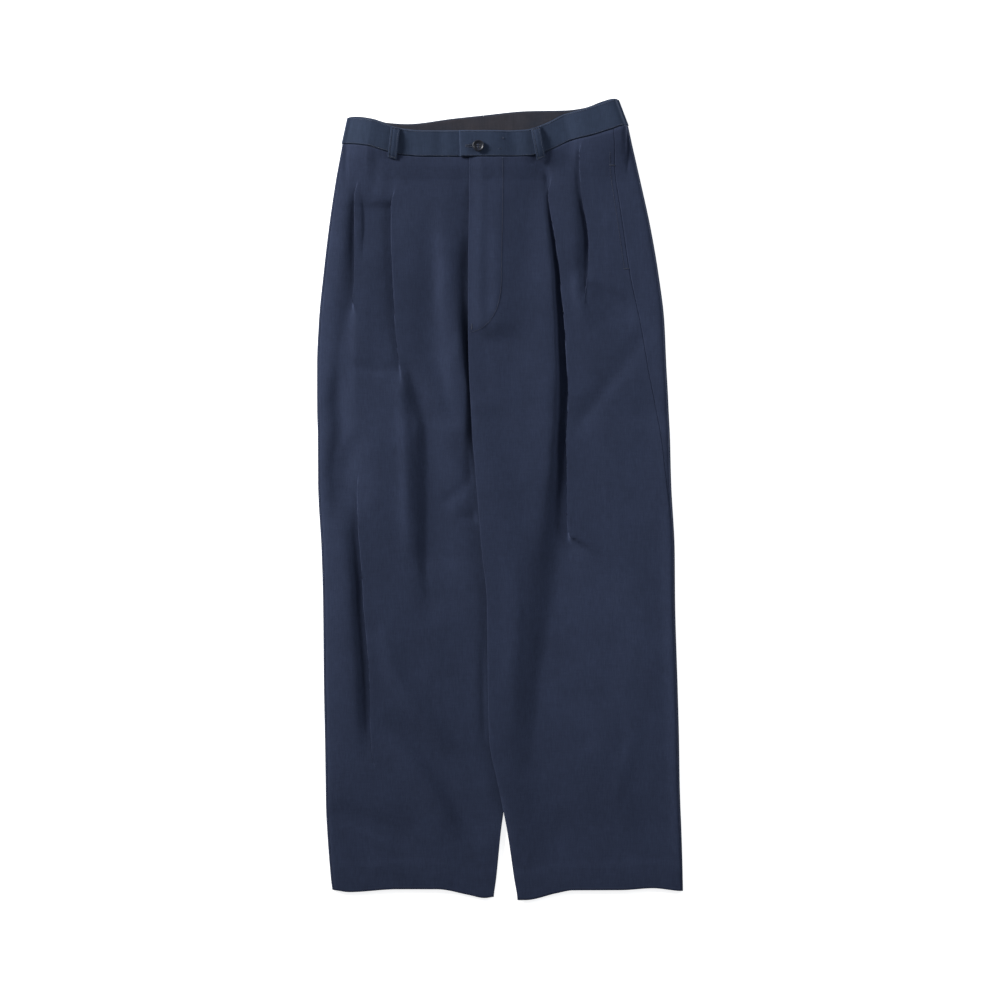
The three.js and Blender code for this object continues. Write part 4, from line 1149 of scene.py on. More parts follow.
def spun_thread(name, colour):
    material, tree, shader = new_material(
        name, colour, 0.6, Sheen_Weight=0.25, Sheen_Roughness=0.4, Specular_IOR_Level=0.3
    )
    ply = wave(tree, 0.25, 0.7, 0.3)
    ground = tint(tree, ply, shade(colour, 0.75), shade(colour, 1.2), 0.2, 0.8)
    tree.links.new(ground, shader.inputs["Base Color"])
    add_bump(tree, shader, ply, 0.5, 0.05)
    return material


def horn(name, colour):
    """Dark polished resin with a horn-like grain."""
    material, tree, shader = new_material(
        name, colour, 0.42, Coat_Weight=0.1, Coat_Roughness=0.3, Specular_IOR_Level=0.3
    )
    grain = noise(tree, 3.2, 4.0, stretch=(1, 2.6, 1), turn=0.5)
    specks = noise(tree, 0.5, 2.0)
    ground = tint(tree, grain, shade(colour, 0.6), shade(colour, 1.9), 0.35, 0.75)
    tree.links.new(ground, shader.inputs["Base Color"])
    tree.links.new(tint(tree, specks, grey(0.36), grey(0.5), 0.3, 0.7), shader.inputs["Roughness"])
    add_bump(tree, shader, specks, 0.15, 0.05)
    return material


def cast_metal(name, colour):
    material, tree, shader = new_material(name, colour, 0.34, Metallic=1.0)
    scratches = noise(tree, 0.6, 3.0, stretch=(1, 10, 1))
    tree.links.new(tint(tree, scratches, grey(0.26), grey(0.46), 0.3, 0.7), shader.inputs["Roughness"])
    tree.links.new(
        tint(tree, scratches, shade(colour, 0.85), shade(colour, 1.1), 0.3, 0.7), shader.inputs["Base Color"]
    )
    add_bump(tree, shader, scratches, 0.2, 0.03)
    return material


def named(name, make, *facts, **more):
    """The material of that name, made the first time it is asked for."""
    return bpy.data.materials.get(name) or make(name, *facts, **more)


def body_cloth():
    finish = bpy.context.scene.trouser_finish
    return named("navy_twill", woven, tuple(finish.cloth), bpy.context.scene.trouser_cut.weave / MM)


def band_cloth():
    finish = bpy.context.scene.trouser_finish
    weave = bpy.context.scene.trouser_cut.weave / MM
    return named("navy_twill_band", woven, tuple(finish.band), weave, mottle=0.08)


def sewing_thread():
    return named("navy_thread", spun_thread, tuple(bpy.context.scene.trouser_finish.thread))


# ---- Panels ----


def make_front(leg):
    outer = front_grid(leg)
    inner = outer - normals_of(outer) * (bpy.context.scene.trouser_cut.cloth_wall / MM)
    made = shell(f"front_{leg}_panel", outer, inner, body_cloth())
    return settle_on_body(made, [f"front_{leg}"])


BEND_TURNS = np.linspace(0, math.pi, 11)[1:-1]


def back_raise(x, y):
    """Soft troughs in the cloth underneath, which keeps clear of the surface there."""
    x = x + PATTERN_SHIFT["back"]
    return 0.9 * smooth(0.6 * BROAD(x, y) - 0.35) + 0.25 * smooth(FINE(x, y))


def make_back(leg):
    sign = outer_sign(leg)
    columns = 47 if leg == "left" else 41
    x, y = settle(lambda level: back_places(leg, level), columns, BACK_SEAM, HEMS[leg])
    inner_edge, outer_edge = back_inner(leg, y), bend_start(leg, y)
    margin = clamp01(np.minimum(np.abs(x - inner_edge), np.abs(outer_edge - x)) / 25 - 0.2)
    margin = margin * clamp01((BACK_SEAM("y", x) - 20 - y) / 25) * clamp01((y - HEMS[leg]("y", x) - 15) / 25)
    room = clamp01((front_loft(leg, x, y) - 2.5) / 4)
    low = waist_lift(BACK_SEAM, x, y) + margin * room * back_raise(x, y)
    if leg == "left":
        low = low + leg_lift(x, y)
    side_steps = [8, 16] if leg == "left" else [4, 2]

    def side_places(level):
        bend, seam_x = bend_start(leg, level), side_seam(leg, level)
        close = bend - sign * np.minimum(4, np.abs(bend - seam_x) / 2)
        return spread([bend, close, seam_x], side_steps, level.shape)

    sx, sy = settle(side_places, sum(side_steps) + 1, FRONT_SEAM, HEMS[leg])
    edge_low = waist_lift(BACK_SEAM, sx[:, :1], sy[:, :1])
    lift = band_lift(sx, sy)
    loft = front_loft(leg, sx, sy)
    loft = loft * smooth((sx - sx[:, :1]) * -sign / EDGE_CLIMB)
    under = edge_low + lift + LAYER + loft
    top_over = np.dstack([sx, sy, under + WALL])
    top_under = np.dstack([sx, sy, under])
    bends_over, bends_under = [], []
    for turn in BEND_TURNS:
        reach, share = math.sin(turn) * EDGE_SIZE, (1 - math.cos(turn)) / 2
        room_inside = GAP + lift[:, :1]
        px = sx[:, :1] + sign * reach
        bends_over.append(np.dstack([px, sy[:, :1], edge_low + (2 * WALL + room_inside) * share]))
        px = sx[:, :1] + sign * np.maximum(0.1, reach - WALL)
        bends_under.append(np.dstack([px, sy[:, :1], edge_low + WALL + room_inside * share]))
    outer = np.hstack([np.dstack([x, y, low]), *bends_over, top_over])
    inner = np.hstack([np.dstack([x, y, low + WALL]), *bends_under, top_under])
    made = shell(f"back_{leg}_panel", outer, inner, body_cloth())
    return settle_on_body(made, [f"back_{leg}"])


# ---- Waistband ----

BAND_COLUMN = 2.2
BAND_BACK_COLUMNS = 60
BAND_END_RUN = 5.0
BAND_EDGE_RUN = 3.0


def band_shift(x):
    return -(x - BAND_MIDDLE) * BAND_LEAN


def lean(x, level):
    """How far a point of the band leans to the side at a level above the waist seam."""
    return band_shift(x) * level / BAND_HEIGHT


def band_under(leg, x):
    """Height of the front run of the band, at its underside."""
    over = 0.0
    if leg == "left":
        over = (BAND_WALL + GAP) * (1 - smooth((x - UNDERLAP_END - 2) / 30))
    ripple = 0.25 * BROAD(3 * x + 50, 0 * x)
    shape = WAIST_SHAPE("height", x)
    return BACK_LIFT + BAND_WALL + GAP + shape + ripple * clamp01(shape / 4) + over


def band_point(leg, x, level):
    """A point on the outside of the front run."""
    x, level = np.broadcast_arrays(np.asarray(x, float), np.asarray(level, float))
    edge = np.minimum(level, BAND_HEIGHT - level)
    crown = BAND_CROWN * rise(edge / BAND_EDGE_RUN)
    z = band_under(leg, x) + BAND_WALL - BAND_CROWN + crown
    return np.stack([x + lean(x, level), FRONT_SEAM("y", x) + level, z], axis=-1)


def band_end(leg):
    """Where the front run reaches the outer edge."""
    y = 500.0
    for _ in range(8):
        x = float(bend_start(leg, y))
        y = float(FRONT_SEAM("y", x))
    return x, y


BAND_LEVELS = np.concatenate(
    [
        [GAP, 0.9, 1.6, 2.4, 3.4],
        np.linspace(5, BAND_HEIGHT - 5, 12),
        BAND_HEIGHT - np.array([3.4, 2.4, 1.6, 0.9, 0]),
    ]
)


def make_band(leg):
    sign = outer_sign(leg)
    free = TAB_END if leg == "left" else UNDERLAP_END
    edge_x, edge_y = band_end(leg)
    steps = int(abs(edge_x - free) / BAND_COLUMN)
    run = np.linspace(free, edge_x, steps)
    back_end = CENTRE_BACK + sign * GAP / 2
    back_run = np.linspace(edge_x, back_end, BAND_BACK_COLUMNS)
    low = BACK_LIFT + BAND_WALL + GAP
    outer_rows, inner_rows = [], []
    for level in BAND_LEVELS:
        over = band_point(leg, run, level)
        under = over.copy()
        edge = min(level, BAND_HEIGHT - level)
        under[:, 2] -= BAND_WALL - BAND_CROWN + BAND_CROWN * float(rise(edge / BAND_EDGE_RUN))
        near_edge = smooth((run - edge_x) * -sign / BAND_END_RUN)
        over[:, 2] = mix(low + BAND_WALL, over[:, 2], near_edge)
        under[:, 2] = mix(low, under[:, 2], near_edge)
        shift = level / BAND_HEIGHT
        bend_over, bend_under = [], []
        for turn in BEND_TURNS[::-1]:
            reach, share = math.sin(turn) * (BAND_WALL + GAP / 2), (1 - math.cos(turn)) / 2
            px = edge_x + sign * reach
            bend_over.append([px, edge_y + level, BACK_LIFT + (2 * BAND_WALL + GAP) * share])
            px = edge_x + sign * max(0.1, reach - BAND_WALL)
            bend_under.append([px, edge_y + level, BACK_LIFT + BAND_WALL + GAP * share])
        bend_over, bend_under = np.array(bend_over), np.array(bend_under)
        for bend in (bend_over, bend_under):
            bend[:, 0] += band_shift(bend[:, 0]) * shift
        back = np.stack(
            [
                back_run + band_shift(back_run) * shift,
                BACK_SEAM("y", back_run) + level,
                np.full(BAND_BACK_COLUMNS, BACK_LIFT),
            ],
            axis=1,
        )
        outer_rows.append(np.vstack([over, bend_over, back]))
        inner_rows.append(np.vstack([under, bend_under, back + [0, 0, BAND_WALL]]))
    made = shell(f"band_{leg}", np.array(outer_rows), np.array(inner_rows), band_cloth(), rim=5, soft=0.9)
    return settle_on_body(made, [f"waistband_{leg}"])


FACING_RUN = (-194, 146)
FACING_WALL = 0.8


def make_facing():
    """The facing inside the back of the band, which shows in the open waist."""
    run = np.linspace(*FACING_RUN, 120)
    levels = np.linspace(2, BAND_HEIGHT - 1.5, 14)
    x, level = np.meshgrid(run, levels)
    low = BACK_LIFT + BAND_WALL + GAP
    wavy = 0.35 + 0.3 * BROAD(2 * x + 77, 3 * level)
    z = low + FACING_WALL + np.maximum(wavy, 0.0) * clamp01(level / 10)
    outer = np.dstack([x + lean(x, level), BACK_SEAM("y", x) + level, z])
    inner = outer - [0, 0, FACING_WALL]
    colour = tuple(bpy.context.scene.trouser_finish.facing)
    warm = (colour[0] * 1.25, colour[1] * 1.02, colour[2] * 0.85)
    material = named("facing_cloth", woven, colour, 0.6, ribs_turn=0.0, sheen=0.15, warm=warm, mottle=0.12)
    made = shell("band_facing", outer, inner, material)
    return settle_on_body(made, ["waistband_facing"])


# ---- Belt loops ----

LOOP_WIDTH = 12.5
LOOP_TAIL = 7.0
FRONT_LOOPS = {"loop_front_left": ("left", 55.5), "loop_front_right": ("right", -147.5)}
BACK_LOOPS = {"loop_back_left": 130.0, "loop_back_centre": CENTRE_BACK, "loop_back_right": -172.0}
LOOP_ARCH = 2.6


def loop_point(leg, x, across, share):
    """A point on a front loop: across from -0.5 to 0.5, share from its tail to its top."""
    length = BAND_HEIGHT + LOOP_TAIL - 0.5
    level = -LOOP_TAIL + share * length
    slope = (FRONT_SEAM("y", x + 5) - FRONT_SEAM("y", x - 5)) / 10
    px = x + across * LOOP_WIDTH
    arch = LOOP_ARCH * np.sin(math.pi * clamp01((share - 0.07) / 0.88)) ** 0.6
    crown = 0.35 * (1 - (2 * across) ** 4) + 0.15 * np.cos(across * 12)
    z = band_under(leg, px) + BAND_WALL + LOOP_WALL + 0.3 + arch + crown
    y = FRONT_SEAM("y", x) + level + across * LOOP_WIDTH * slope
    return np.stack([px + lean(x, level), y, z], axis=-1)


def make_front_loop(name):
    leg, x = FRONT_LOOPS[name]
    share, across = np.meshgrid(np.linspace(0, 1, 44), np.linspace(-0.5, 0.5, 15), indexing="ij")
    outer = loop_point(leg, x, across, share)
    inner = outer - normals_of(outer) * LOOP_WALL
    made = shell(f"{name}_strap", outer, inner, band_cloth())
    return settle_on_body(made, [name])


def make_back_loop(name):
    x = BACK_LOOPS[name]
    level, across = np.meshgrid(
        np.linspace(-LOOP_TAIL, BAND_HEIGHT - 1, 30), np.linspace(-0.5, 0.5, 9), indexing="ij"
    )
    px = x + across * LOOP_WIDTH
    y = BACK_SEAM("y", px) + level
    outer = np.dstack([px + lean(x, level), y, 0.05 * (2 * across) ** 2])
    inner = outer.copy()
    inner[..., 2] = LOOP_WALL
    made = shell(f"{name}_strap", outer, inner, band_cloth())
    return settle_on_body(made, [name])


# ---- Pockets ----

POCKET_TOP = 448.0
POCKET_BOTTOM = 318.0
POCKET_REACH = 24.0
POCKET_WALL = 0.9


def make_pocket(leg):
    """The strip of cloth behind a pocket's mouth."""
    low, high = (-0.5, 0.5) if leg == "left" else (0.15, 0.75)
    y, share = np.meshgrid(
        np.linspace(POCKET_TOP, POCKET_BOTTOM, 34), np.linspace(low, high, 12), indexing="ij"
    )
    x = side_seam(leg, y) - outer_sign(leg) * share * POCKET_REACH
    if leg == "right":
        under = LAYER + waist_lift(BACK_SEAM, x, y)
    else:
        under = front_under(leg, x, y) - POCKET_WALL - GAP - 0.1
    outer = np.dstack([x, y, under + POCKET_WALL])
    made = shell(f"pocket_{leg}_facing", outer, outer - [0, 0, POCKET_WALL], body_cloth())
    return settle_on_body(made, [f"pocket_{leg}"])


# ---- Zip ----

ZIP_START = 9.0
ZIP_END = 33.0
ZIP_TOP = 462.0
ZIP_BOTTOM = 258.0
ZIP_MIDDLE = (ZIP_START + ZIP_END) / 2
COIL_HALF = 2.5
TOOTH_PITCH = 1.25
TOOTH_HALF = 1.8

# Level, width, height and corner of the slider's plates and of the hole in its tab.
SLIDER_BODY = (446.0, 8.0, 10.0, 3.2)
SLIDER_TAB = (431.0, 5.0, 22.0, 2.2)
TAB_HOLE = (423.5, 2.4, 4.0, 1.1)


def zip_base(offset, y):
    x = station("inner", y) + offset
    rest = LAYER + waist_lift(FRONT_SEAM, x, y) + band_lift(x, y)
    return x, rest + station("loft", y) * rise((station("left", y) - x) / SIDE_ROUND["left"])


def make_zip():
    offsets = np.concatenate(
        [np.linspace(ZIP_START, ZIP_MIDDLE - COIL_HALF, 7), np.linspace(ZIP_MIDDLE + COIL_HALF, ZIP_END, 7)]
    )
    y, offset = np.meshgrid(np.linspace(ZIP_TOP, ZIP_BOTTOM, 80), offsets, indexing="ij")
    x, base = zip_base(offset, y)
    outer = np.dstack([x, y, base + ZIP_TAPE])
    colour = tuple(bpy.context.scene.trouser_finish.thread)
    tape = shell(
        "zip_tape", outer, outer - [0, 0, ZIP_TAPE], named("zip_tape_cloth", woven, shade(colour, 0.6), 0.5)
    )
    settle_on_body(tape, ["zip"])
    teeth_points, teeth_faces = [], []
    for k, level in enumerate(np.arange(ZIP_BOTTOM + 3, ZIP_TOP - 3, TOOTH_PITCH)):
        side = 1 if k % 2 else -1
        x, base = zip_base(ZIP_MIDDLE + side * 0.7, level)
        height = base + ZIP_TAPE + 0.3
        start, end = np.array([x - TOOTH_HALF, level, height]), np.array([x + TOOTH_HALF, level, height])
        points, faces = rounded_bar(start, end, 0.5)
        teeth_faces += [[v + len(teeth_points) for v in face] for face in faces]
        teeth_points += points
    teeth = piece("zip_teeth", teeth_points, teeth_faces, named("zip_nylon", horn, shade(colour, 0.8)))
    settle_on_body(teeth)
    return tape, teeth


def tube_faces(rings, sides):
    """Faces of a tube through so many rings of points, closed at both ends."""
    faces = []
    for ring in range(rings - 1):
        for k in range(sides):
            a, b = ring * sides + k, ring * sides + (k + 1) % sides
            faces.append([a, b, b + sides, a + sides])
    faces.append(list(range(sides))[::-1])
    faces.append([(rings - 1) * sides + k for k in range(sides)])
    return faces


def rounded_bar(start, end, radius, sides=8):
    """A short bar with rounded ends from start to end."""
    axis = end - start
    length = np.linalg.norm(axis)
    axis = axis / length
    side = np.cross(axis, [0, 0, 1.0])
    side /= np.linalg.norm(side)
    up = np.cross(side, axis)
    stations = [(0, 0.35), (0.12, 0.85), (0.3, 1), (0.7, 1), (0.88, 0.85), (1, 0.35)]
    points = []
    for share, size in stations:
        for k in range(sides):
            angle = 2 * math.pi * k / sides
            ring = side * math.cos(angle) + up * math.sin(angle)
            points.append(start + axis * length * share + ring * radius * size)
    return points, tube_faces(len(stations), sides)


def make_slider():
    """Slider and its tab, cast in one finish."""
    x, base = zip_base(ZIP_MIDDLE, SLIDER_BODY[0])
    low = float(base) + ZIP_COIL + GAP
    x = float(x)
    body = plate([(x, *SLIDER_BODY)], low, SLIDER_PLATE)
    tab = plate([(x, *SLIDER_TAB), (x, *TAB_HOLE)], low + 0.05, 0.85)
    points = body[0] + tab[0]
    faces = body[1] + [[v + len(body[0]) for v in face] for face in tab[1]]
    colour = tuple(bpy.context.scene.trouser_finish.metal)
    made = piece("zip_slider_body", points, faces, named("slider_metal", cast_metal, colour), False)
    return settle_on_body(made, ["zip_slider"])


def outline(cx, cy, width, height, corner, count=8):
    """A rounded rectangle, anticlockwise."""
    points = []
    for quarter, (sx, sy) in enumerate([(1, 1), (-1, 1), (-1, -1), (1, -1)]):
        for k in range(count):
            angle = math.pi / 2 * (quarter + k / (count - 1))
            points.append(
                (
                    cx + sx * (width / 2 - corner) + corner * math.cos(angle),
                    cy + sy * (height / 2 - corner) + corner * math.sin(angle),
                )
            )
    return points


def plate(outlines, low, thick, bevel=0.2):
    """A flat plate with softened edges, and a hole where a second outline is given."""
    rings = []
    for number, (cx, cy, width, height, corner) in enumerate(outlines):
        grow = -1 if number == 0 else 1
        more = 2 * grow * bevel
        small = outline(cx, cy, width + more, height + more, corner + grow * bevel * 0.5)
        full = outline(cx, cy, width, height, corner)
        rings.append(
            [
                [(px, py, low) for px, py in small],
                [(px, py, low + bevel) for px, py in full],
                [(px, py, low + thick - bevel) for px, py in full],
                [(px, py, low + thick) for px, py in small],
            ]
        )
    points = [np.array(p) for ring in rings for loop in ring for p in loop]
    count = len(rings[0][0])
    faces = []
    for number in range(len(rings)):
        start = number * 4 * count
        for s in range(3):
            for k in range(count):
                a, b = start + s * count + k, start + s * count + (k + 1) % count
                face = [a, b, b + count, a + count]
                faces.append(face if number == 0 else face[::-1])
    if len(rings) == 1:
        faces.append(list(range(count))[::-1])
        faces.append([3 * count + k for k in range(count)])
    else:
        for s, flip in ((0, True), (3, False)):
            for k in range(count):
                a, b = s * count + k, s * count + (k + 1) % count
                face = [a, b, b + 4 * count, a + 4 * count]
                faces.append(face[::-1] if flip else face)
    return points, faces


# ---- Button ----

BUTTON_PROFILE = [
    (0.0, 0.0), (5.6, 0.0), (6.9, 0.3), (7.7, 0.9), (8.0, 1.6), (7.9, 2.3), (7.5, 2.8), (6.9, 3.0), (6.3, 2.8),
    (5.8, 2.3), (5.0, 1.95), (3.6, 1.8), (0.0, 1.75),
]


BUTTON_SIDES = 64
HOLES = 4
HOLE_RING = 1.9
HOLE_RADIUS = 0.85


def button_low():
    return float(band_under("left", np.array(BUTTON_AT[0]))) + BAND_WALL + 0.9


def make_button():
    x0, y0 = BUTTON_AT
    low = button_low()
    points, faces, rings = [], [], []
    for radius, z in BUTTON_PROFILE:
        if radius == 0:
            rings.append([len(points)])
            points.append((x0, y0, low + z))
            continue
        ring = []
        for k in range(BUTTON_SIDES):
            angle = 2 * math.pi * k / BUTTON_SIDES
            ring.append(len(points))
            points.append((x0 + radius * math.cos(angle), y0 + radius * math.sin(angle), low + z))
        rings.append(ring)
    for a, b in zip(rings, rings[1:]):
        for k in range(BUTTON_SIDES):
            n = (k + 1) % BUTTON_SIDES
            if len(a) == 1:
                faces.append([a[0], b[n], b[k]])
            elif len(b) == 1:
                faces.append([a[k], a[n], b[0]])
            else:
                faces.append([a[k], a[n], b[n], b[k]])
    colour = tuple(bpy.context.scene.trouser_finish.button)
    made = piece("waist_button", points, faces, named("button_horn", horn, colour))
    for k in range(HOLES):
        angle = math.pi * (0.25 + 0.5 * k)
        hx, hy = x0 + HOLE_RING * math.cos(angle), y0 + HOLE_RING * math.sin(angle)
        cut_out(made, tube_between((hx, hy, low - 1), (hx, hy, low + 5), HOLE_RADIUS))
    return settle_on_body(made, ["button"])


def tube_between(start, end, radius, sides=20):
    start, end = np.array(start, float), np.array(end, float)
    points = []
    for base in (start, end):
        for k in range(sides):
            angle = 2 * math.pi * k / sides
            points.append(base + [radius * math.cos(angle), radius * math.sin(angle), 0])
    return piece("cutter", points, tube_faces(2, sides), body_cloth(), False)


def cut_out(made, cutter):
    """Takes the cutter's space out of a piece, and removes the cutter."""
    change = made.modifiers.new("cut", "BOOLEAN")
    change.operation = "DIFFERENCE"
    change.solver = "EXACT"
    change.object = cutter
    apply_changes(made)
    bpy.data.objects.remove(cutter)


def apply_changes(made):
    graph = bpy.context.evaluated_depsgraph_get()
    mesh = bpy.data.meshes.new_from_object(made.evaluated_get(graph))
    made.modifiers.clear()
    made.data = mesh


# ---- Stitching ----


def resample(line, pitch):
    """Points along a line at an even pitch."""
    steps = np.linalg.norm(np.diff(line, axis=0), axis=1)
    along = np.concatenate([[0], np.cumsum(steps)])
    count = max(2, int(along[-1] / pitch))
    at = np.linspace(0, along[-1], count + 1)
    return np.stack([np.interp(at, along, line[:, k]) for k in range(line.shape[1])], axis=1)


# Along a stitch: share of its length, share of its thickness, and height in radii.
STITCH_SHAPE = [
    (0.0, 0.35, -0.35), (0.12, 0.85, 0.0), (0.35, 1.0, 0.3), (0.65, 1.0, 0.3), (0.88, 0.85, 0.0),
    (1.0, 0.35, -0.35),
]


def stitched(starts, ends, ups, radius, sides=6):
    """Vertices and faces of many stitches at once, each a short plump thread."""
    axis = ends - starts
    length = np.linalg.norm(axis, axis=1, keepdims=True)
    axis = axis / np.maximum(length, 1e-9)
    side = np.cross(axis, ups)
    side /= np.maximum(np.linalg.norm(side, axis=1, keepdims=True), 1e-9)
    up = np.cross(side, axis)
    rings = []
    for share, size, height in STITCH_SHAPE:
        centre = starts + axis * length * share + up * radius * height
        for k in range(sides):
            angle = 2 * math.pi * k / sides
            rings.append(centre + (side * math.cos(angle) + up * math.sin(angle)) * radius * size)
    points = np.stack(rings, axis=1)
    per = points.shape[1]
    one = tube_faces(len(STITCH_SHAPE), sides)
    faces = [[v + n * per for v in face] for n in range(len(starts)) for face in one]
    return points.reshape(-1, 3), faces


def sew(name, lines, pitch=None, fill=0.84, radius=None):
    """One object with a stitch at each pitch along every line. A line is points and the cloth's normals."""
    cut = bpy.context.scene.trouser_cut
    pitch, radius = pitch or cut.stitch / MM, radius or cut.thread / MM / 2
    starts, ends, ups = [], [], []
    for points, normals in lines:
        row = resample(np.hstack([points, normals]), pitch)
        start, nxt, up = row[:-1, :3], row[1:, :3], row[:-1, 3:]
        starts.append(start + up * radius * 0.25)
        ends.append(start + (nxt - start) * fill + up * radius * 0.25)
        ups.append(up)
    points, faces = stitched(np.vstack(starts), np.vstack(ends), np.vstack(ups), radius)
    return settle_on_body(piece(name, points, faces, sewing_thread()))


def on_surface(height, x, y):
    """Points and normals of a surface that is given as a height over x and y."""
    x, y = np.asarray(x, float), np.asarray(y, float)
    step = 0.4
    z = height(x, y)
    dx = (height(x + step, y) - height(x - step, y)) / (2 * step)
    dy = (height(x, y + step) - height(x, y - step)) / (2 * step)
    normal = np.stack([-dx, -dy, np.ones_like(z)], axis=1)
    normal /= np.linalg.norm(normal, axis=1, keepdims=True)
    return np.stack([x, y, z], axis=1), normal


def front_line(leg, x, y):
    return on_surface(lambda a, b: front_top(leg, a, b), x, y)


def facing_up(points):
    """The points, each with a normal that points straight up."""
    return points, np.tile([0, 0, 1.0], (len(points), 1))


def band_line(leg, x, level):
    return facing_up(band_point(leg, x, level))


def loop_line(name, across, low=0.02, high=0.98):
    leg, x = FRONT_LOOPS[name]
    share = np.linspace(low, high, 50)
    points = loop_point(leg, x, np.full(50, across), share)
    slope = np.gradient(points[:, 2]) / np.maximum(np.gradient(points[:, 1]), 1e-6)
    normals = np.stack([np.zeros(50), -slope, np.ones(50)], axis=1)
    return points, normals / np.linalg.norm(normals, axis=1, keepdims=True)


def bar_tack(height, x, y, width, angle, rows=9):
    """A short dense bar of thread across a line."""
    lines = []
    direction = np.array([math.cos(angle), math.sin(angle)])
    along = np.linspace(-0.5, 0.5, rows * 2)
    for share in along:
        centre = np.array([x, y]) + direction * share * width
        across = np.array([-direction[1], direction[0]]) * 0.75
        ends = np.stack([centre - across, centre + across])
        points, normals = on_surface(height, ends[:, 0], ends[:, 1])
        lines.append((points, normals))
    return lines


def make_stitching():
    level = np.linspace(470, 229, 160)
    made = [
        sew(
            "fly_stitching",
            [front_line("left", station("inner", level) + FLY_STITCH("offset", level), level)],
        )
    ]
    mouth = np.linspace(POCKET_TOP + 30, POCKET_BOTTOM, 60)
    made.append(
        sew("pocket_stitching", [front_line("left", side_seam("left", mouth) - 6.5, mouth)])
    )
    tacks = []
    for y in (POCKET_TOP + 12, POCKET_BOTTOM):
        x = float(side_seam("left", y))
        tacks += bar_tack(lambda a, b: front_top("left", a, b) + 0.1, x - 4.0, y, 7, 0.0)
    fly_foot = float(station("inner", 240))
    tacks += bar_tack(lambda a, b: front_top("left", a, b), fly_foot + 5, 238, 7, math.pi / 2)
    made.append(sew("bar_tacks", tacks, pitch=1.5, fill=0.98))
    loop_rows = []
    for name in FRONT_LOOPS:
        loop_rows += [loop_line(name, across) for across in (-0.33, 0.33)]
    made.append(sew("loop_stitching", loop_rows))
    loop_tacks = []
    for name, (leg, x) in FRONT_LOOPS.items():
        for share in (0.045, 0.96):
            for across in np.linspace(-0.36, 0.36, 16):
                ends = np.array([share - 0.018, share + 0.018])
                points = loop_point(leg, x, np.full(2, across), ends)
                loop_tacks.append(facing_up(points))
    made.append(sew("loop_tacks", loop_tacks, pitch=1.5, fill=0.98))
    band_rows = []
    for leg, free in (("left", TAB_END + 2), ("right", TAB_END - 3)):
        edge_x, _ = band_end(leg)
        run = np.linspace(free, edge_x - outer_sign(leg) * 3, 150)
        band_rows += [band_line(leg, run, 2.0), band_line(leg, run, BAND_HEIGHT - 2.0)]
    made.append(sew("band_stitching", band_rows))
    made.append(make_buttonhole())
    made.append(make_button_thread())
    made.append(make_inner_tack())
    return made


def make_buttonhole():
    """Dense stitches round the slit, longest at its eyelet end."""
    x0, y0, half = -37.0, BUTTON_AT[1], 9.0
    lines = []
    for x in np.arange(x0 - half, x0 + half, 0.55):
        for sign in (-1, 1):
            low, high = 0.5, 2.0
            points = np.stack([[x, y0 + sign * low, 0], [x, y0 + sign * high, 0]])
            points[:, 2] = band_point("left", points[:, 0], points[:, 1] - FRONT_SEAM("y", points[:, 0]))[:, 2]
            lines.append(facing_up(points))
    for angle in np.linspace(-math.pi / 2, math.pi / 2, 9):
        direction = np.array([-math.cos(angle), math.sin(angle)])
        a = np.array([x0 - half, y0]) + direction * 0.5
        b = np.array([x0 - half, y0]) + direction * 2.0
        z = float(band_point("left", a[0], a[1] - FRONT_SEAM("y", a[0]))[2])
        lines.append(facing_up(np.array([[*a, z], [*b, z]])))
    return sew("buttonhole_stitching", lines, pitch=1.5, fill=0.98, radius=0.3)


def make_button_thread():
    x0, y0 = BUTTON_AT
    low = button_low()
    starts, ends = [], []
    for sign in (-1, 1):
        for offset in (-0.45, -0.15, 0.15, 0.45):
            y = y0 + sign * 1.34 + offset
            starts.append([x0 - 1.75, y, low + 1.9])
            ends.append([x0 + 1.75, y, low + 1.9])
    for angle in np.linspace(0, 2 * math.pi, 9)[:-1]:
        px, py = x0 + 1.1 * math.cos(angle), y0 + 1.1 * math.sin(angle)
        starts.append([px, py, low - 2.2])
        ends.append([px + 0.01, py, low + 0.4])
    starts, ends = np.array(starts), np.array(ends)
    ups = np.tile([0, 0.02, 1.0], (len(starts), 1))
    ups[8:] = [1, 0, 0]
    points, faces = stitched(starts, ends, ups, 0.26)
    return settle_on_body(piece("button_thread", points, faces, sewing_thread()))


# Middle, turn and length of each thread.
INNER_TACKS = [(4, 497, 0.6, 3.0), (4, 497, 2.2, 3.0), (4.5, 496.6, 0.6, 2.6), (0, 482.5, 0.05, 4.5)]


def make_inner_tack():
    """Where the inner button is sewn on from behind, a few threads show on the band."""
    lines = []
    for dx, dy, angle, length in INNER_TACKS:
        direction = np.array([math.cos(angle), math.sin(angle)]) * length / 2
        ends = np.stack([np.array([dx, dy]) - direction, np.array([dx, dy]) + direction])
        z = band_point("left", ends[:, 0], ends[:, 1] - FRONT_SEAM("y", ends[:, 0]))[:, 2]
        lines.append(facing_up(np.column_stack([ends, z])))
    return sew("inner_button_stitching", lines, pitch=5, fill=0.98)


# ---- Stage ----

KEY_DISTANCE = 5.0
KEY_HEIGHT = math.radians(17.5)
KEY_TURN = math.radians(32)
KEY_PLACE = (
    -KEY_DISTANCE * math.cos(KEY_HEIGHT) * math.cos(KEY_TURN),
    KEY_DISTANCE * math.cos(KEY_HEIGHT) * math.sin(KEY_TURN),
    KEY_DISTANCE * math.sin(KEY_HEIGHT),
)


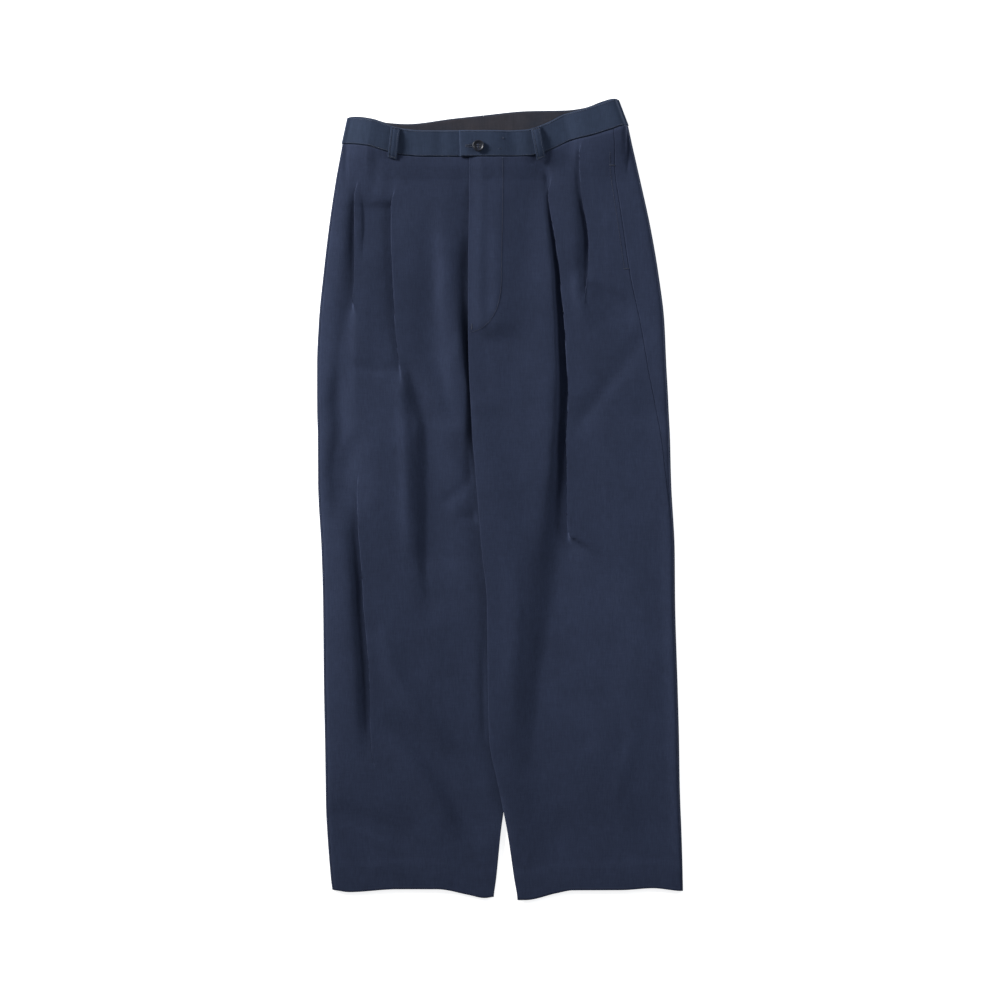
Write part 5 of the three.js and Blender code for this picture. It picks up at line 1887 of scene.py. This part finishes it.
KEY_LAMP = {"size": 1.3, "energy": 25.6, "colour": (1.0, 0.99, 0.97), "aim": (0.14, 0.15, 0), "spread": 38.0}
FILL_PLACE = (2.7, 1.5, 1.3)
FILL_LAMP = {"size": 1.2, "energy": 42.0, "colour": (0.97, 0.99, 1.0)}
SKY_COLOUR = (0.93, 0.96, 1.0, 1)
SKY_STRENGTH = 0.24
FLOOR_HALF = 9000.0
FLOOR_LEVEL = -0.3
LENS = 85.0
SENSOR = 36.0
VIEW_WIDTH = 1.38


def make_floor():
    """A pale floor that glows a little, as a light table does, so that its shadows stay faint."""
    material, tree, shader = new_material("pale_floor", (0.85, 0.85, 0.85), 0.9, Specular_IOR_Level=0.1)
    shader.inputs["Emission Color"].default_value = (1, 1, 1, 1)
    shader.inputs["Emission Strength"].default_value = 0.75
    grain = noise(tree, 40, 2.0)
    tree.links.new(tint(tree, grain, grey(0.84), grey(0.86), 0.3, 0.7), shader.inputs["Base Color"])
    half, low = FLOOR_HALF, FLOOR_LEVEL
    corners = [(-half, -half, low), (half, -half, low), (half, half, low), (-half, half, low)]
    mesh = bpy.data.meshes.new("floor")
    mesh.from_pydata([tuple(c * MM for c in corner) for corner in corners], [], [(0, 1, 2, 3)])
    mesh.materials.append(material)
    floor = bpy.data.objects.new("floor", mesh)
    bpy.context.scene.collection.objects.link(floor)
    return floor


def add_light(name, place, size, energy, colour=(1, 1, 1), aim=(0, 0, 0), spread=180.0):
    lamp = bpy.data.lights.new(name, "AREA")
    lamp.shape = "DISK"
    lamp.size = size
    lamp.energy = energy
    lamp.color = colour
    lamp.spread = math.radians(spread)
    made = bpy.data.objects.new(name, lamp)
    made.location = place
    made.rotation_euler = (Vector(aim) - Vector(place)).to_track_quat("-Z", "Y").to_euler()
    bpy.context.scene.collection.objects.link(made)
    return made


def make_stage():
    scene = bpy.context.scene
    make_floor()
    world = bpy.data.worlds.new("studio")
    world.use_nodes = True
    background = world.node_tree.nodes["Background"]
    background.inputs["Color"].default_value = SKY_COLOUR
    background.inputs["Strength"].default_value = SKY_STRENGTH
    scene.world = world
    add_light("key", KEY_PLACE, **KEY_LAMP)
    add_light("fill", FILL_PLACE, **FILL_LAMP)
    middle = (CAD_BOX[0] + CAD_BOX[1]) / 2
    data = bpy.data.cameras.new("overhead")
    data.lens = LENS
    data.sensor_width = SENSOR
    camera = bpy.data.objects.new("overhead", data)
    camera.location = (middle.x, middle.y, VIEW_WIDTH * LENS / SENSOR)
    scene.collection.objects.link(camera)
    scene.camera = camera
    scene.view_settings.view_transform = "Standard"


# ---- Operators ----


def length_property(name, description, default, least, most):
    return FloatProperty(
        name=name, description=description, default=default, min=least, max=most, unit="LENGTH", precision=5
    )


def colour_property(name, description, default):
    return FloatVectorProperty(
        name=name, description=description, default=default, subtype="COLOR", min=0, max=1, size=3
    )


class TrouserCut(bpy.types.PropertyGroup):
    """Sizes of the cloth and the sewing."""

    cloth_wall: length_property("Cloth thickness", "One layer with its turned edges", 0.001, 0.0004, 0.0012)
    weave: length_property("Rib spacing", "Distance between the slanting ribs", 0.00075, 0.0003, 0.002)
    stitch: length_property("Stitch pitch", "Length of a stitch with its gap", 0.0029, 0.0015, 0.005)
    thread: length_property("Thread thickness", "Thickness of the sewing thread", 0.0005, 0.0002, 0.001)


class TrouserFinish(bpy.types.PropertyGroup):
    """Colours of the trousers."""

    cloth: colour_property("Cloth", "Colour of the panels", (0.0220, 0.0302, 0.0612))
    band: colour_property("Band", "Colour of the waistband and the loops", (0.0245, 0.0365, 0.0680))
    facing: colour_property("Facing", "Colour inside the band", (0.027, 0.031, 0.045))
    thread: colour_property("Thread", "Colour of the sewing thread", (0.028, 0.037, 0.068))
    button: colour_property("Button", "Colour of the button", (0.008, 0.010, 0.018))
    metal: colour_property("Slider", "Colour of the zip's slider", (0.32, 0.33, 0.36))


class TROUSERS_OT_backs(bpy.types.Operator):
    """Make the two back panels, which wrap round the outer edges"""

    bl_idname = "trousers.backs"
    bl_label = "Backs"

    def execute(self, context):
        for leg, flat, area in (("left", (0.33, 1.08), 0.30), ("right", (0.26, 1.06), 0.25)):
            make_back(leg)
        return {"FINISHED"}


class TROUSERS_OT_fronts(bpy.types.Operator):
    """Make the two front panels with their pleats and folds"""

    bl_idname = "trousers.fronts"
    bl_label = "Fronts"

    def execute(self, context):
        for leg, flat, area in (("left", (0.28, 1.07), 0.26), ("right", (0.25, 1.07), 0.245)):
            make_front(leg)
        return {"FINISHED"}


class TROUSERS_OT_waistband(bpy.types.Operator):
    """Make the two halves of the waistband and the facing inside it"""

    bl_idname = "trousers.waistband"
    bl_label = "Waistband"

    def execute(self, context):
        for leg, length in (("left", 0.43), ("right", 0.41)):
            band = make_band(leg)
        make_facing()
        return {"FINISHED"}


class TROUSERS_OT_loops(bpy.types.Operator):
    """Make the belt loops, the front ones arched and the back ones pressed flat"""

    bl_idname = "trousers.loops"
    bl_label = "Belt loops"

    def execute(self, context):
        for name in FRONT_LOOPS:
            make_front_loop(name)
        for name in BACK_LOOPS:
            make_back_loop(name)
        return {"FINISHED"}


class TROUSERS_OT_pockets(bpy.types.Operator):
    """Make the facings behind the pocket mouths"""

    bl_idname = "trousers.pockets"
    bl_label = "Pocket facings"

    def execute(self, context):
        for leg, width in (("left", 0.024), ("right", 0.0144)):
            make_pocket(leg)
        return {"FINISHED"}


class TROUSERS_OT_closure(bpy.types.Operator):
    """Make the zip, its slider and the button"""

    bl_idname = "trousers.closure"
    bl_label = "Zip and button"

    def execute(self, context):
        tape, teeth = make_zip()
        make_slider()
        make_button()
        return {"FINISHED"}


class TROUSERS_OT_stitching(bpy.types.Operator):
    """Sew the rows of stitches, bar tacks and the buttonhole"""

    bl_idname = "trousers.stitching"
    bl_label = "Stitching"

    def execute(self, context):
        make_stitching()
        return {"FINISHED"}


class TROUSERS_OT_stage(bpy.types.Operator):
    """Make the pale floor, the soft studio light and the camera"""

    bl_idname = "trousers.stage"
    bl_label = "Stage"

    def execute(self, context):
        make_stage()
        return {"FINISHED"}


STEPS = ("backs", "fronts", "waistband", "loops", "pockets", "closure", "stitching", "stage")


class TROUSERS_PT_sidebar(bpy.types.Panel):
    """Lists the garment's pieces in the order in which they are made"""

    bl_label = "Trousers"
    bl_idname = "TROUSERS_PT_sidebar"
    bl_space_type = "VIEW_3D"
    bl_region_type = "UI"
    bl_category = "Trousers"

    def draw(self, context):
        for step in STEPS:
            self.layout.operator(f"trousers.{step}")
        for group in (context.scene.trouser_cut, context.scene.trouser_finish):
            for name in group.__annotations__:
                self.layout.prop(group, name)


CLASSES = (
    TrouserCut,
    TrouserFinish,
    TROUSERS_OT_backs,
    TROUSERS_OT_fronts,
    TROUSERS_OT_waistband,
    TROUSERS_OT_loops,
    TROUSERS_OT_pockets,
    TROUSERS_OT_closure,
    TROUSERS_OT_stitching,
    TROUSERS_OT_stage,
    TROUSERS_PT_sidebar,
)


def register():
    for made in CLASSES:
        bpy.utils.register_class(made)
    bpy.types.Scene.trouser_cut = PointerProperty(type=TrouserCut)
    bpy.types.Scene.trouser_finish = PointerProperty(type=TrouserFinish)


def unregister():
    del bpy.types.Scene.trouser_cut
    del bpy.types.Scene.trouser_finish
    for made in reversed(CLASSES):
        bpy.utils.unregister_class(made)


def main():
    register()
    for step in STEPS:
        getattr(bpy.ops.trousers, step)()


if __name__ == "__main__":
    main()
